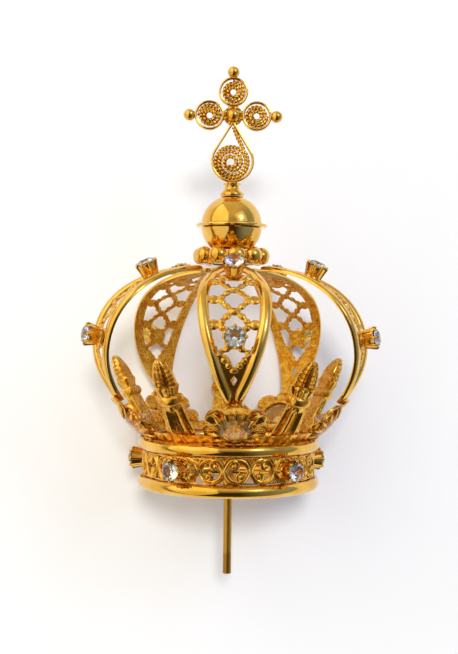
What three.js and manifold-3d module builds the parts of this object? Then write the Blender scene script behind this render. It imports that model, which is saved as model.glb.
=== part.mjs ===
// Statue crown in gilt brass, about 141 mm long with its fixing rod, lying on its back.
// Two round base rings hold a pierced band; a cast cresting of flowers and buds stands on them.
// Five leaf-shaped arches rise from the cresting to a beaded ring, an orb and a filigree cross.
// Everything is built in the crown's own upright frame, where Z = 0 is the underside of the
// lower ring and -Y is the front, and the whole crown is then laid on its back.
import * as THREE from 'three';
import { mergeVertices } from 'three/addons/utils/BufferGeometryUtils.js';
import Module from 'manifold-3d';

const wasm = await Module();
wasm.setup();

// Base rings and the band between them, in millimetres
const ringOuterRadius = 25.3;
const ringWire = 3.5;
const bandHeight = 7.05;
const bandWall = 1.0;
const bandSetBack = 1.3;
const scrollPairs = 11;
const solderGap = 0.25;
const ringColumns = 30;

// Fixing rod and the bar that carries it
const rodDiameter = 2.35;
const rodReach = 24.3;
const barWidth = 4;
const barThickness = 1.5;
const barEndClearance = 0.15;

// Cast cresting: its flare from the upper ring, its flowers and its buds
const crestReach = 10.3;
const crestHeight = 11.3;
const crestThickness = 1.0;
const crestSetIn = 0.65;
const crestSunk = 0.6;
const crestStripShare = 0.19;
const petalTopLength = 9.9;
const petalSideLength = 9.2;
const petalLowLength = 8.4;
const petalTopWidth = 7.2;
const petalSideWidth = 6.5;
const petalLowWidth = 5.4;
const petalBend = -0.008;
const petalWrap = 3.2;
const petalDish = 0.5;
const flowerShare = 0.38;
const budHeight = 21.6;
const budLean = 12.0;
const budWidth = 6.2;
const budDepth = 3.2;
const budFootWidth = 10.4;

// Leaf arches
const archCount = 5;
const archFootBack = 0.65;
const archFootDrop = 1.3;
const archHubInset = 1.7;
const archBelly = 5.8;
const archBellyRise = 13.8;
const archRise = 36.6;
const archHalfWidth = 9.5;
const archTipHalfWidth = 1.8;
const archTurn = -0.03;
const archHubHalfWidth = 2.3;
const archWidestShare = 0.54;
const railWidth = 3.0;
const railFootGain = 0.8;
const railFootShare = 0.4;
const railDepth = 1.5;
const latticeDepth = 0.8;
const latticePitch = 7.6;
const diamondHalfWidth = 3.0;
const diamondHalfHeight = 3.2;
const footOpeningRise = 3.0;
const stoneOpeningDrop = 4.3;
const hubOpeningCells = 2.4;
const sideOpeningInner = 2.6;
const sideOpeningHalfHeight = 2.5;
const sideOpeningMargin = 0.3;
const bulgeStoneAt = 18.8;
const topStoneAt = 41.2;

// Stones and their claw cups
const stoneDiameter = 5.2;
const stoneClearance = 0.2;
const cupWall = 0.32;
const cupBaseDiameter = 4.7;
const bandCupHeight = 4.8;
const bulgeCupHeight = 4.9;
const topCupHeight = 4.8;
const cupClawRise = 0.45;
const cupFloorDepth = 3.7;
const girdleDepth = 0.8;
const frontTopTilt = 0.36;
const girdleSeat = 0.1;
const bigStoneDiameter = 9.8;
const bigCupWall = 0.7;
const bigCupDepth = 1.2;
const bigCupRise = 0.9;
const bigCupLedge = 0.9;

// Beaded ring, orb and cross
const beadRingRadius = 10.8;
const beadRingBore = 10.0;
const beadRingHeight = 4.6;
const beadCount = 10;
const beadValley = 1.5;
const beadTurn = 0.12;
const orbRadius = 8.55;
const orbWall = 0.8;
const orbFlangeRadius = 9.95;
const orbFlangeThickness = 1.1;
const bowlHeight = 6.2;
const collarRadius = 3.3;
const collarNeckRadius = 2.5;
const collarHeight = 3.0;
const crossDropHeight = 16.0;
const crossDropToHub = 1.9;
const crossDropRadius = 6.05;
const crossLobeRadius = 4.15;
const crossLobeOffset = 6.65;
const crossHubRadius = 2.8;
const crossBallRadius = 1.7;
const crossBossRadius = 1.9;
const crossStrip = 0.85;
const crossDepth = 1.9;
const twistedWire = 1.15;
const dropLeadHeight = 4.2;
const dropLeadStart = 0.6;

// Densities in grams per cubic millimetre, used for the balance point
const brassDensity = 0.0085;
const glassDensity = 0.0025;

// Levels and radii that follow from the sizes above
const ringRadius = ringOuterRadius - ringWire / 2;
const ringInnerRadius = ringOuterRadius - ringWire;
const lowerRingLevel = ringWire / 2;
const upperRingLevel = ringWire + bandHeight + ringWire / 2;
const baseTop = upperRingLevel + ringWire / 2;
const bandOuterRadius = ringOuterRadius - bandSetBack;
const crestFoot = new THREE.Vector2(ringRadius - crestSetIn, baseTop + solderGap);
const crestTip = new THREE.Vector2(crestFoot.x + crestReach, crestFoot.y + crestHeight);
const archFoot = new THREE.Vector2(
  crestTip.x - crestThickness / 2 - railDepth / 2 - archFootBack, crestTip.y - archFootDrop);
const archHub = new THREE.Vector2(beadRingRadius - archHubInset, archFoot.y + archRise);
const beadRingBottom = archHub.y + railDepth / 2 + solderGap;
const beadRingTop = beadRingBottom + beadRingHeight;
const orbLevel = beadRingTop + solderGap + bowlHeight;
const collarBottom = orbLevel + orbRadius + solderGap;
const dropBottom = collarBottom + collarHeight + solderGap;
const crossLevel = dropBottom + crossDropHeight + crossStrip + crossDropToHub;
const stoneHole = bigStoneDiameter / 2 + stoneClearance;
const spokeStep = (2 * Math.PI) / archCount;

// Finishes
const goldBrass = () => new THREE.MeshStandardMaterial({ color: 0xd9a441, metalness: 1, roughness: 0.22 });
const brownBrass = () => new THREE.MeshStandardMaterial({ color: 0x9c6a34, metalness: 1, roughness: 0.35 });
const clearGlass = () => new THREE.MeshStandardMaterial({
  color: 0xdde4ea, metalness: 0, roughness: 0.05, transparent: true, opacity: 0.45 });

// Closed mesh from points and triangles, turned so that its faces point out
function closedMesh(points, triangles) {
  const normal = new THREE.Vector3();
  const volume = triangles.reduce((sum, [a, b, c]) =>
    sum + points[a].dot(normal.crossVectors(points[b], points[c])), 0);
  const outward = volume < 0 ? triangles.map(([a, b, c]) => [a, c, b]) : triangles;
  const geometry = new THREE.BufferGeometry();
  geometry.setAttribute('position',
    new THREE.Float32BufferAttribute(points.flatMap((point) => point.toArray()), 3));
  geometry.setIndex(outward.flat());
  return mergeVertices(geometry, 1e-4);
}

// Skin over a series of loops with equal counts; the series closes on itself or is capped
function loft(loops, closed = false) {
  const count = loops[0].length;
  const triangles = [];
  const bands = closed ? loops.length : loops.length - 1;
  for (let row = 0; row < bands; row++) {
    const here = row * count;
    const next = ((row + 1) % loops.length) * count;
    for (let column = 0; column < count; column++) {
      const side = (column + 1) % count;
      triangles.push([here + column, here + side, next + side]);
      triangles.push([here + column, next + side, next + column]);
    }
  }
  if (!closed) {
    const top = (loops.length - 1) * count;
    for (let column = 1; column < count - 1; column++) {
      triangles.push([0, column + 1, column], [top, top + column, top + column + 1]);
    }
  }
  return closedMesh(loops.flat(), triangles);
}

// Turned solid: the profile runs from axis to axis, or closes on itself away from the axis.
// shape(column, row) may add to a point's radius and height, for claws and lobes.
function turned(profile, columns, shape = () => [0, 0]) {
  const onAxis = profile[0][0] === 0;
  const points = [];
  const triangles = [];
  const last = profile.length - 1;
  const place = (row, column) => {
    const [radius, height] = profile[row];
    const [out, up] = radius === 0 ? [0, 0] : shape(column, row);
    const angle = (column / columns) * 2 * Math.PI;
    return new THREE.Vector3(
      (radius + out) * Math.cos(angle), (radius + out) * Math.sin(angle), height + up);
  };
  if (!onAxis) {
    return loft(Array.from({ length: columns }, (_, column) =>
      profile.map((_, row) => place(row, column))), true);
  }
  for (let row = 1; row < last; row++) {
    for (let column = 0; column < columns; column++) {
      points.push(place(row, column));
    }
  }
  const first = points.push(place(0, 0)) - 1;
  const end = points.push(place(last, 0)) - 1;
  for (let column = 0; column < columns; column++) {
    const side = (column + 1) % columns;
    triangles.push([first, side, column]);
    for (let row = 0; row < last - 2; row++) {
      const low = row * columns;
      const high = low + columns;
      triangles.push([low + column, low + side, high + side]);
      triangles.push([low + column, high + side, high + column]);
    }
    const rim = (last - 2) * columns;
    triangles.push([end, rim + column, rim + side]);
  }
  return closedMesh(points, triangles);
}

// Pierced plate. Its rim is an outline seen from the front; steps are further outlines with the
// same count on the front face, each with its height, the last one bounding the pierced field.
// place(point, height) sets a flat point in space; openEdge(i) leaves a rim edge without a wall.
function plate({ rim, steps, holes, place, openEdge = () => false }) {
  const points = [];
  const triangles = [];
  const ring = (outline, height) => outline.map((point) => points.push(place(point, height)) - 1);
  const wall = (lower, upper, open = () => false) => {
    lower.forEach((_, i) => {
      const j = (i + 1) % lower.length;
      if (!open(i)) {
        triangles.push([lower[i], lower[j], upper[j]], [lower[i], upper[j], upper[i]]);
      }
    });
  };
  const field = (outline, outlineIndices, holeIndices, flip) => {
    const flat = [outline, ...holes].flat();
    const indices = [outlineIndices, ...holeIndices].flat();
    THREE.ShapeUtils.triangulateShape(outline, holes).forEach(([a, b, c]) => {
      const area = (flat[b].x - flat[a].x) * (flat[c].y - flat[a].y)
        - (flat[c].x - flat[a].x) * (flat[b].y - flat[a].y);
      const keep = (area > 0) !== flip;
      triangles.push(keep ? [indices[a], indices[b], indices[c]] : [indices[a], indices[c], indices[b]]);
    });
  };
  const back = ring(rim, 0);
  let front = back;
  steps.forEach(({ outline, height }) => {
    const next = ring(outline, height);
    wall(front, next, openEdge);
    front = next;
  });
  const { outline: fieldOutline, height: fieldHeight } = steps[steps.length - 1];
  const backHoles = holes.map((hole) => ring(hole, 0));
  const frontHoles = holes.map((hole) => ring(hole, fieldHeight));
  backHoles.forEach((hole, i) => wall(hole, frontHoles[i]));
  field(fieldOutline, front, frontHoles, false);
  field(rim, back, backHoles, true);
  return { points, triangles };
}

const vector = (x, y) => new THREE.Vector2(x, y);
const clockwise = (outline) => (THREE.ShapeUtils.area(outline) > 0 ? outline.reverse() : outline);

// Booleans
function toSolid(geometry) {
  const bare = new THREE.BufferGeometry();
  bare.setAttribute('position', geometry.getAttribute('position'));
  bare.setIndex(geometry.getIndex());
  const merged = mergeVertices(bare, 1e-4);
  const corners = merged.getIndex().array;
  const kept = [];
  for (let i = 0; i < corners.length; i += 3) {
    const [a, b, c] = corners.slice(i, i + 3);
    if (a !== b && b !== c && c !== a) {
      kept.push(a, b, c);
    }
  }
  return new wasm.Manifold(new wasm.Mesh({
    numProp: 3,
    vertProperties: new Float32Array(merged.getAttribute('position').array),
    triVerts: new Uint32Array(kept),
  }));
}

function toGeometry(solid) {
  const mesh = solid.getMesh();
  const geometry = new THREE.BufferGeometry();
  geometry.setAttribute('position', new THREE.BufferAttribute(new Float32Array(mesh.vertProperties), 3));
  geometry.setIndex(new THREE.BufferAttribute(new Uint32Array(mesh.triVerts), 1));
  return geometry;
}

const join = (solids) => solids.reduce((whole, next) => whole.add(next));

// Solid without the crumbs and near-flat slivers that the joins leave
function tidied(solid) {
  const parts = solid.simplify(0.1).decompose();
  return join(parts.filter((body) => Math.abs(body.volume()) > 0.02));
}

// Round wire of a few sides along points in the XZ plane, with its ends capped
function planarWire(path, radius, sides) {
  const depthAxis = new THREE.Vector3(0, 1, 0);
  const loops = path.map((point, i) => {
    const ahead = path[Math.min(i + 1, path.length - 1)];
    const behind = path[Math.max(i - 1, 0)];
    const along = new THREE.Vector3(ahead.x - behind.x, 0, ahead.y - behind.y).normalize();
    const across = new THREE.Vector3().crossVectors(along, depthAxis);
    return Array.from({ length: sides }, (_, side) => {
      const angle = (side / sides) * 2 * Math.PI;
      return new THREE.Vector3(point.x, 0, point.y)
        .addScaledVector(across, radius * Math.cos(angle))
        .addScaledVector(depthAxis, radius * Math.sin(angle));
    });
  });
  return loft(loops);
}

// Base ring: round wire bent to a circle
function baseRing() {
  const sides = 8;
  const profile = Array.from({ length: sides }, (_, i) => {
    const angle = ((i + 0.5) / sides) * 2 * Math.PI;
    const radius = ringWire / 2 / Math.cos(Math.PI / sides);
    return [ringRadius + radius * Math.cos(angle), radius * Math.sin(angle)];
  });
  return turned(profile, ringColumns);
}

// Pierced band: pairs of mirrored scroll ovals, each oval open in a slanting S between its curls
function scrollBand() {
  const height = bandHeight - 2 * solderGap;
  const meanRadius = bandOuterRadius - bandWall / 2;
  const pairWidth = (2 * Math.PI * meanRadius) / scrollPairs;
  const ovalOffset = pairWidth / 4;
  const ovalReach = ovalOffset * 0.66;
  const ovalRise = height * 0.33;
  const middle = height / 2;
  const sOpening = (side) => {
    const half = [vector(-1, 0.2), vector(-0.75, 0.95), vector(-0.1, 0.5), vector(0.85, 0.75)];
    const turnedHalf = half.map((point) => vector(-point.x, -point.y));
    return clockwise([...half, ...turnedHalf].map((point) =>
      vector(side * (ovalOffset + point.x * ovalReach), middle + point.y * ovalRise)));
  };
  const gap = ovalOffset * 0.42;
  const railHeight = height * 0.08;
  const spandrel = (base, tip) => clockwise([vector(-gap, base), vector(gap, base), vector(0, tip)]);
  const holes = [sOpening(1), sOpening(-1),
    spandrel(railHeight, height * 0.3), spandrel(height - railHeight, height * 0.72)];
  const edgeSteps = 3;
  const edge = Array.from({ length: edgeSteps + 1 }, (_, i) => (i / edgeSteps - 0.5) * pairWidth);
  const rim = [...edge.map((x) => vector(x, 0)), ...edge.slice().reverse().map((x) => vector(x, height))];
  const points = [];
  const triangles = [];
  for (let pair = 0; pair < scrollPairs; pair++) {
    const turn = (pair / scrollPairs) * 2 * Math.PI;
    const tile = plate({
      rim,
      steps: [{ outline: rim, height: bandWall }],
      holes,
      place: (point, depth) => {
        const angle = turn + point.x / meanRadius;
        const radius = bandOuterRadius - bandWall + depth;
        return new THREE.Vector3(radius * Math.cos(angle), radius * Math.sin(angle), point.y);
      },
      openEdge: (i) => i === edgeSteps || i === rim.length - 1,
    });
    const start = points.length;
    points.push(...tile.points);
    triangles.push(...tile.triangles.map((corner) => corner.map((index) => index + start)));
  }
  return closedMesh(points, triangles);
}

// Claw cup: a tapering cup whose rim rises in claws around the stone
function clawCup(height) {
  const bore = stoneDiameter / 2 + stoneClearance;
  const rim = height - cupClawRise;
  const profile = [[0, 0], [cupBaseDiameter / 2, 0], [bore + cupWall, rim],
    [bore, rim], [bore, height - girdleDepth - girdleSeat], [0, height - cupFloorDepth]];
  return turned(profile, 10, (column, row) => {
    const claw = (row === 2 || row === 3) && column % 2 === 0;
    return claw ? [0, cupClawRise] : [0, 0];
  });
}

// Faceted stone with its girdle at height zero
function stone(diameter, columns) {
  const girdle = diameter / 2;
  const profile = [[0, -0.38 * diameter], [girdle, 0], [0.85 * girdle, 0.12 * diameter],
    [0.5 * girdle, 0.2 * diameter], [0, 0.2 * diameter]];
  return turned(profile, columns);
}

// Flare line of the cresting, as radius and height
const flare = new THREE.CubicBezierCurve(
  crestFoot,
  vector(crestFoot.x + 0.3 * crestReach, crestFoot.y + 0.3 * crestHeight),
  vector(crestFoot.x + 0.68 * crestReach, crestFoot.y + 0.62 * crestHeight),
  crestTip);
const flowerCentre = flare.getPoint(flowerShare);
const flowerTangent = flare.getTangent(flowerShare);

// Point on a flower: across is along the ring, along is up the flare from the stone's middle.
// The petals bend back with the flare at their tips and with the ring at their sides.
function onFlower(across, along, out) {
  const beyond = Math.max(along - bigStoneDiameter / 2, 0);
  const lift = out - petalBend * beyond ** 2 - across ** 2 / (petalWrap * flowerCentre.x);
  return new THREE.Vector3(
    flowerCentre.x + flowerTangent.x * along + flowerTangent.y * lift,
    across,
    flowerCentre.y + flowerTangent.y * along - flowerTangent.x * lift);
}

// Geometry turned about Z in its own frame, set with its axis square to the flare
function faceOut(geometry, centre, tangent) {
  const turn = new THREE.Matrix4().makeBasis(
    new THREE.Vector3(-tangent.x, 0, -tangent.y),
    new THREE.Vector3(0, 1, 0),
    new THREE.Vector3(tangent.y, 0, -tangent.x));
  return geometry.clone().applyMatrix4(turn).translate(centre.x, 0, centre.y);
}

// Petal: a dished leaf on the flare, pointing away from the stone at an angle from straight up
function petal(angle, length, width, lift) {
  const root = bigStoneDiameter / 2 - 0.4;
  const outline = (scale, sink) => {
    const middle = (root + length) / 2;
    const reach = ((length - root) / 2) * scale;
    const half = (width / 2) * scale;
    const shape = [[-1, 0.55], [0.2, 1], [0.8, 0.6], [1, 0], [0.8, -0.6], [0.2, -1], [-1, -0.55]];
    return shape.map(([along, across]) => {
      const distance = middle + along * reach - sink;
      const side = across * half;
      return vector(distance * Math.sin(angle) + side * Math.cos(angle),
        distance * Math.cos(angle) - side * Math.sin(angle));
    });
  };
  const rim = outline(1, 0);
  const { points, triangles } = plate({
    rim,
    steps: [{ outline: rim, height: crestThickness }, { outline: outline(0.55, 0.2), height: petalDish }],
    holes: [],
    place: (point, out) => onFlower(point.x, point.y, out - crestThickness / 2 + lift),
  });
  return toSolid(closedMesh(points, triangles));
}

// Flower: five petals behind a round cup, still solid where the stone sits
function flower() {
  const outer = stoneHole + bigCupWall;
  const cup = [[0, -bigCupDepth], [outer, -bigCupDepth], [outer, bigCupRise], [0, bigCupRise]];
  return join([
    petal(0, petalTopLength, petalTopWidth, 0.21),
    petal(0.84, petalSideLength, petalSideWidth, 0),
    petal(-0.84, petalSideLength, petalSideWidth, 0),
    petal(1.78, petalLowLength, petalLowWidth, -0.17),
    petal(-1.78, petalLowLength, petalLowWidth, -0.17),
    toSolid(faceOut(turned(cup, 12), flowerCentre, flowerTangent)),
  ]);
}

// Room for a big stone: its seat, and the opening behind it
function flowerBore() {
  const opening = stoneHole - bigCupLedge;
  const behind = -3 * bigCupDepth;
  const before = 3 * bigCupRise;
  const profile = [[0, behind], [opening, behind], [opening, -0.65 * bigCupDepth],
    [stoneHole, -0.4 * bigCupDepth], [stoneHole, before], [0, before]];
  return toSolid(faceOut(turned(profile, 12), flowerCentre, flowerTangent));
}

// Bud: a fluted stem that spreads at its foot, a collar, a pointed calyx and a scaled cone.
// The sections are flat towards the inside of the crown.
function bud() {
  const foot = vector(crestFoot.x - 0.3, crestFoot.y);
  const spine = new THREE.QuadraticBezierCurve(
    foot,
    vector(foot.x + budLean * 0.52, foot.y + budHeight * 0.42),
    vector(foot.x + budLean, foot.y + budHeight));
  const half = budWidth / 2;
  const flutes = [[-1, 0], [-0.82, 0.66], [-0.4, 0.92], [0, 0.74], [0.4, 0.92], [0.82, 0.66], [1, 0]];
  const scales = [[-1, 0], [-0.8, 0.62], [-0.42, 0.95], [0, 1.02], [0.42, 0.95], [0.8, 0.62], [1, 0]];
  const stations = [
    [0.0, budFootWidth / 2, 1.3, flutes, 0],
    [0.12, budFootWidth * 0.4, 1.7, flutes, 0],
    [0.3, half * 1.13, 2.2, flutes, 0],
    [0.46, half * 1.02, 2.3, flutes, 0],
    [0.475, half * 1.13, budDepth * 0.94, scales, 0],
    [0.56, half * 1.13, budDepth * 0.94, scales, 0],
    [0.575, half * 0.87, budDepth * 0.75, scales, 0],
    [0.665, half * 1.06, budDepth, scales, 0.04],
    [0.685, half * 0.93, budDepth * 0.86, scales, 0.04],
    [0.77, half * 0.86, budDepth * 0.86, scales, 0.02],
    [0.78, half * 0.78, budDepth * 0.76, scales, 0.02],
    [0.87, half * 0.74, budDepth * 0.74, scales, 0.015],
    [0.88, half * 0.6, budDepth * 0.6, scales, 0.01],
    [0.95, half * 0.45, budDepth * 0.45, scales, 0.01],
    [1.0, half * 0.12, budDepth * 0.14, scales, 0],
  ];
  return toSolid(loft(stations.map(([share, width, depth, section, zigzag]) =>
    section.map(([across, out], column) => {
      const at = THREE.MathUtils.clamp(share + (column % 2 === 0 ? zigzag : -zigzag), 0, 1);
      const centre = spine.getPointAt(at);
      const tangent = spine.getTangentAt(at);
      const lift = (out - 0.35) * depth;
      return new THREE.Vector3(
        centre.x + tangent.y * lift, across * width, centre.y - tangent.x * lift);
    }))));
}

// The whole cresting is one casting: a strip on the ring, the flowers and the buds
function cresting() {
  const half = crestThickness / 2;
  const strip = [];
  [0, 1].forEach((step) => {
    const share = step * crestStripShare;
    const middle = flare.getPointAt(share);
    strip.push([middle.x + half, middle.y - (step === 0 ? crestSunk : 0)]);
  });
  [1, 0].forEach((step) => {
    const middle = flare.getPointAt(step * crestStripShare);
    strip.push([middle.x - half, middle.y - (step === 0 ? crestSunk : 0)]);
  });
  const pieces = [toSolid(turned(strip, ringColumns))];
  const rooms = [];
  for (let i = 0; i < archCount; i++) {
    const degrees = (i * 360) / archCount - 90;
    pieces.push(flower().rotate([0, 0, degrees]));
    pieces.push(bud().rotate([0, 0, degrees + 180 / archCount]));
    rooms.push(flowerBore().rotate([0, 0, degrees]));
  }
  const sides = 8;
  const clearance = Array.from({ length: sides }, (_, i) => {
    const angle = ((i + 0.5) / sides) * 2 * Math.PI;
    const radius = (ringWire / 2 + solderGap) / Math.cos(Math.PI / sides);
    return [ringRadius + radius * Math.cos(angle), upperRingLevel + radius * Math.sin(angle)];
  });
  rooms.push(toSolid(turned(clearance, ringColumns)));
  return toGeometry(tidied(join(pieces).subtract(join(rooms))));
}

// Line of an arch, as radius and height at the middle of its rails
const archBellyPoint = vector(archFoot.x + archBelly, archFoot.y + archBellyRise);
const archLine = new THREE.CurvePath();
archLine.add(new THREE.CubicBezierCurve(
  archFoot,
  vector(archFoot.x + archBelly * 0.62, archFoot.y + archBellyRise * 0.3),
  vector(archBellyPoint.x, archBellyPoint.y - archBellyRise * 0.33),
  archBellyPoint));
const archTopRise = archHub.y - archBellyPoint.y;
const archTopReach = archBellyPoint.x - archHub.x;
archLine.add(new THREE.CubicBezierCurve(
  archBellyPoint,
  vector(archBellyPoint.x, archBellyPoint.y + archTopRise * 0.57),
  vector(archHub.x + archTopReach * 0.6, archHub.y - archTopRise * 0.02),
  archHub));
const archLength = archLine.getLength();

function archHalfWidthAt(along) {
  const share = THREE.MathUtils.clamp(along / archLength, 0, 1);
  if (share < archWidestShare) {
    const rise = Math.sin((Math.PI / 2) * (share / archWidestShare));
    return archTipHalfWidth + (archHalfWidth - archTipHalfWidth) * rise;
  }
  const fall = Math.cos((Math.PI / 2) * ((share - archWidestShare) / (1 - archWidestShare)));
  return archHubHalfWidth + (archHalfWidth - archHubHalfWidth) * Math.abs(fall) ** 1.35;
}

// The rails widen towards the foot of the arch
function railWidthAt(along) {
  return railWidth + railFootGain * Math.max(1 - along / (railFootShare * archLength), 0);
}

// Point on an arch: across it, along its line and out from its back
function onArch(across, along, out) {
  const share = THREE.MathUtils.clamp(along / archLength, 0, 1);
  const point = archLine.getPoint(share);
  const tangent = archLine.getTangent(share);
  const lift = out - railDepth / 2;
  return new THREE.Vector3(point.x + tangent.y * lift, across, point.y - tangent.x * lift);
}

// Outline of an arch pulled in by a width that depends on the distance along it
function archOutline(insetAt, from, to) {
  const stations = 11;
  const side = Array.from({ length: stations }, (_, i) => {
    const along = from + ((to - from) * i) / (stations - 1);
    return vector(Math.max(archHalfWidthAt(along) - insetAt(along), 0.25), along);
  });
  return [...side, ...side.slice().reverse().map((point) => vector(-point.x, point.y))];
}

// Lattice openings, each as across and along: kites on the middle line, and half stars that
// reach to the rails on both sides
function kite(along, halfWidth, below, above) {
  return clockwise([vector(halfWidth, along), vector(0, along + above),
    vector(-halfWidth, along), vector(0, along - below)]);
}

function sideOpening(side, along, inner, halfHeight) {
  const outerAt = (rise) => {
    const level = along + rise * halfHeight;
    return archHalfWidthAt(level) - railWidthAt(level) - sideOpeningMargin;
  };
  const corner = (rise, reach) =>
    vector(side * (inner + (outerAt(rise) - inner) * reach), along + rise * halfHeight);
  return clockwise([corner(0, 0), corner(0.55, 0.4), corner(1, 0.6), corner(0.8, 1),
    corner(-0.8, 1), corner(-1, 0.6), corner(-0.55, 0.4)]);
}

// Leaf arch: two ridged rails that meet at both ends, with a diagonal lattice between them
function archLeaf() {
  const innerStart = archLength * 0.1;
  const innerEnd = archLength * 0.9;
  const ridgeStart = archLength * 0.035;
  const ridgeEnd = archLength * 0.985;
  const diamondAt = bulgeStoneAt + latticePitch / 2;
  const holes = [
    kite(innerStart + footOpeningRise, 0.9, 0.6 * footOpeningRise, 1.1),
    kite(bulgeStoneAt - stoneOpeningDrop, 2.6, 3.2, 0.7),
    kite(bulgeStoneAt + hubOpeningCells * latticePitch, 2.2, 1.7, 1.9),
  ];
  for (let cell = 0; cell < 2; cell++) {
    holes.push(kite(diamondAt + cell * latticePitch, diamondHalfWidth, diamondHalfHeight, diamondHalfHeight));
  }
  [-1, 1].forEach((side) => {
    holes.push(sideOpening(side, bulgeStoneAt, sideOpeningInner + 0.6, sideOpeningHalfHeight));
    holes.push(sideOpening(side, bulgeStoneAt + latticePitch, sideOpeningInner, sideOpeningHalfHeight));
    holes.push(sideOpening(side, bulgeStoneAt + 2 * latticePitch, sideOpeningInner, sideOpeningHalfHeight));
  });
  const { points, triangles } = plate({
    rim: archOutline(() => 0, 0, archLength),
    steps: [
      { outline: archOutline(() => 0.25, archLength * 0.006, archLength * 0.997), height: railDepth * 0.55 },
      { outline: archOutline((along) => railWidthAt(along) / 2, ridgeStart, ridgeEnd), height: railDepth },
      { outline: archOutline(railWidthAt, innerStart, innerEnd), height: latticeDepth },
    ],
    holes,
    place: (point, out) => onArch(point.x, point.y, out),
  });
  return closedMesh(points, triangles);
}

// Beaded ring: round beads side by side around a plain bored disc
function beadRing() {
  const bore = beadRingBore / 2;
  const half = beadRingHeight / 2;
  const profile = [[bore, 0], [beadRingRadius - half, 0], [beadRingRadius - 0.3 * half, 0.3 * half],
    [beadRingRadius, half], [beadRingRadius - 0.3 * half, 1.7 * half],
    [beadRingRadius - half, 2 * half], [bore, 1.7 * half]];
  const fall = [0, 0.28, 1, 0.28];
  return turned(profile, beadCount * fall.length, (column, row) => {
    const depth = row >= 2 && row <= 4 ? beadValley : 0;
    return [-depth * fall[column % fall.length], 0];
  });
}

// Arc of a sphere between two heights, as radius and height
function sphereArc(radius, from, to, steps) {
  return Array.from({ length: steps + 1 }, (_, i) => {
    const start = Math.asin(from / radius);
    const end = Math.asin(to / radius);
    const angle = start + ((end - start) * i) / steps;
    return [radius * Math.cos(angle), radius * Math.sin(angle)];
  });
}

function orbBowl() {
  const inner = orbRadius - orbWall;
  const top = -orbFlangeThickness / 2 - solderGap;
  return turned([...sphereArc(orbRadius, -bowlHeight, top, 4), ...sphereArc(inner, top, -bowlHeight, 2)], 20);
}

function orbDome() {
  const inner = orbRadius - orbWall;
  const half = orbFlangeThickness / 2;
  const outerArc = sphereArc(orbRadius, orbRadius, half, 5);
  const innerArc = sphereArc(inner, -half, inner, 3);
  outerArc[0] = [0, orbRadius];
  innerArc[innerArc.length - 1] = [0, inner];
  return turned([...outerArc, [orbFlangeRadius, half * 0.5], [orbFlangeRadius, -half], ...innerArc], 20);
}

// Bell-shaped collar that sits on the dome
function finialCollar() {
  const seat = orbRadius + solderGap;
  const seatLevel = (radius) => Math.sqrt(seat ** 2 - radius ** 2) - seat;
  return turned([[0, 0], [1.7, seatLevel(1.7)], [collarRadius, seatLevel(collarRadius)],
    [collarRadius, 0.3], [collarNeckRadius * 1.06, 1.5], [collarNeckRadius * 0.92, 2.6],
    [collarNeckRadius, collarHeight], [0, collarHeight]], 12);
}

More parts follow.
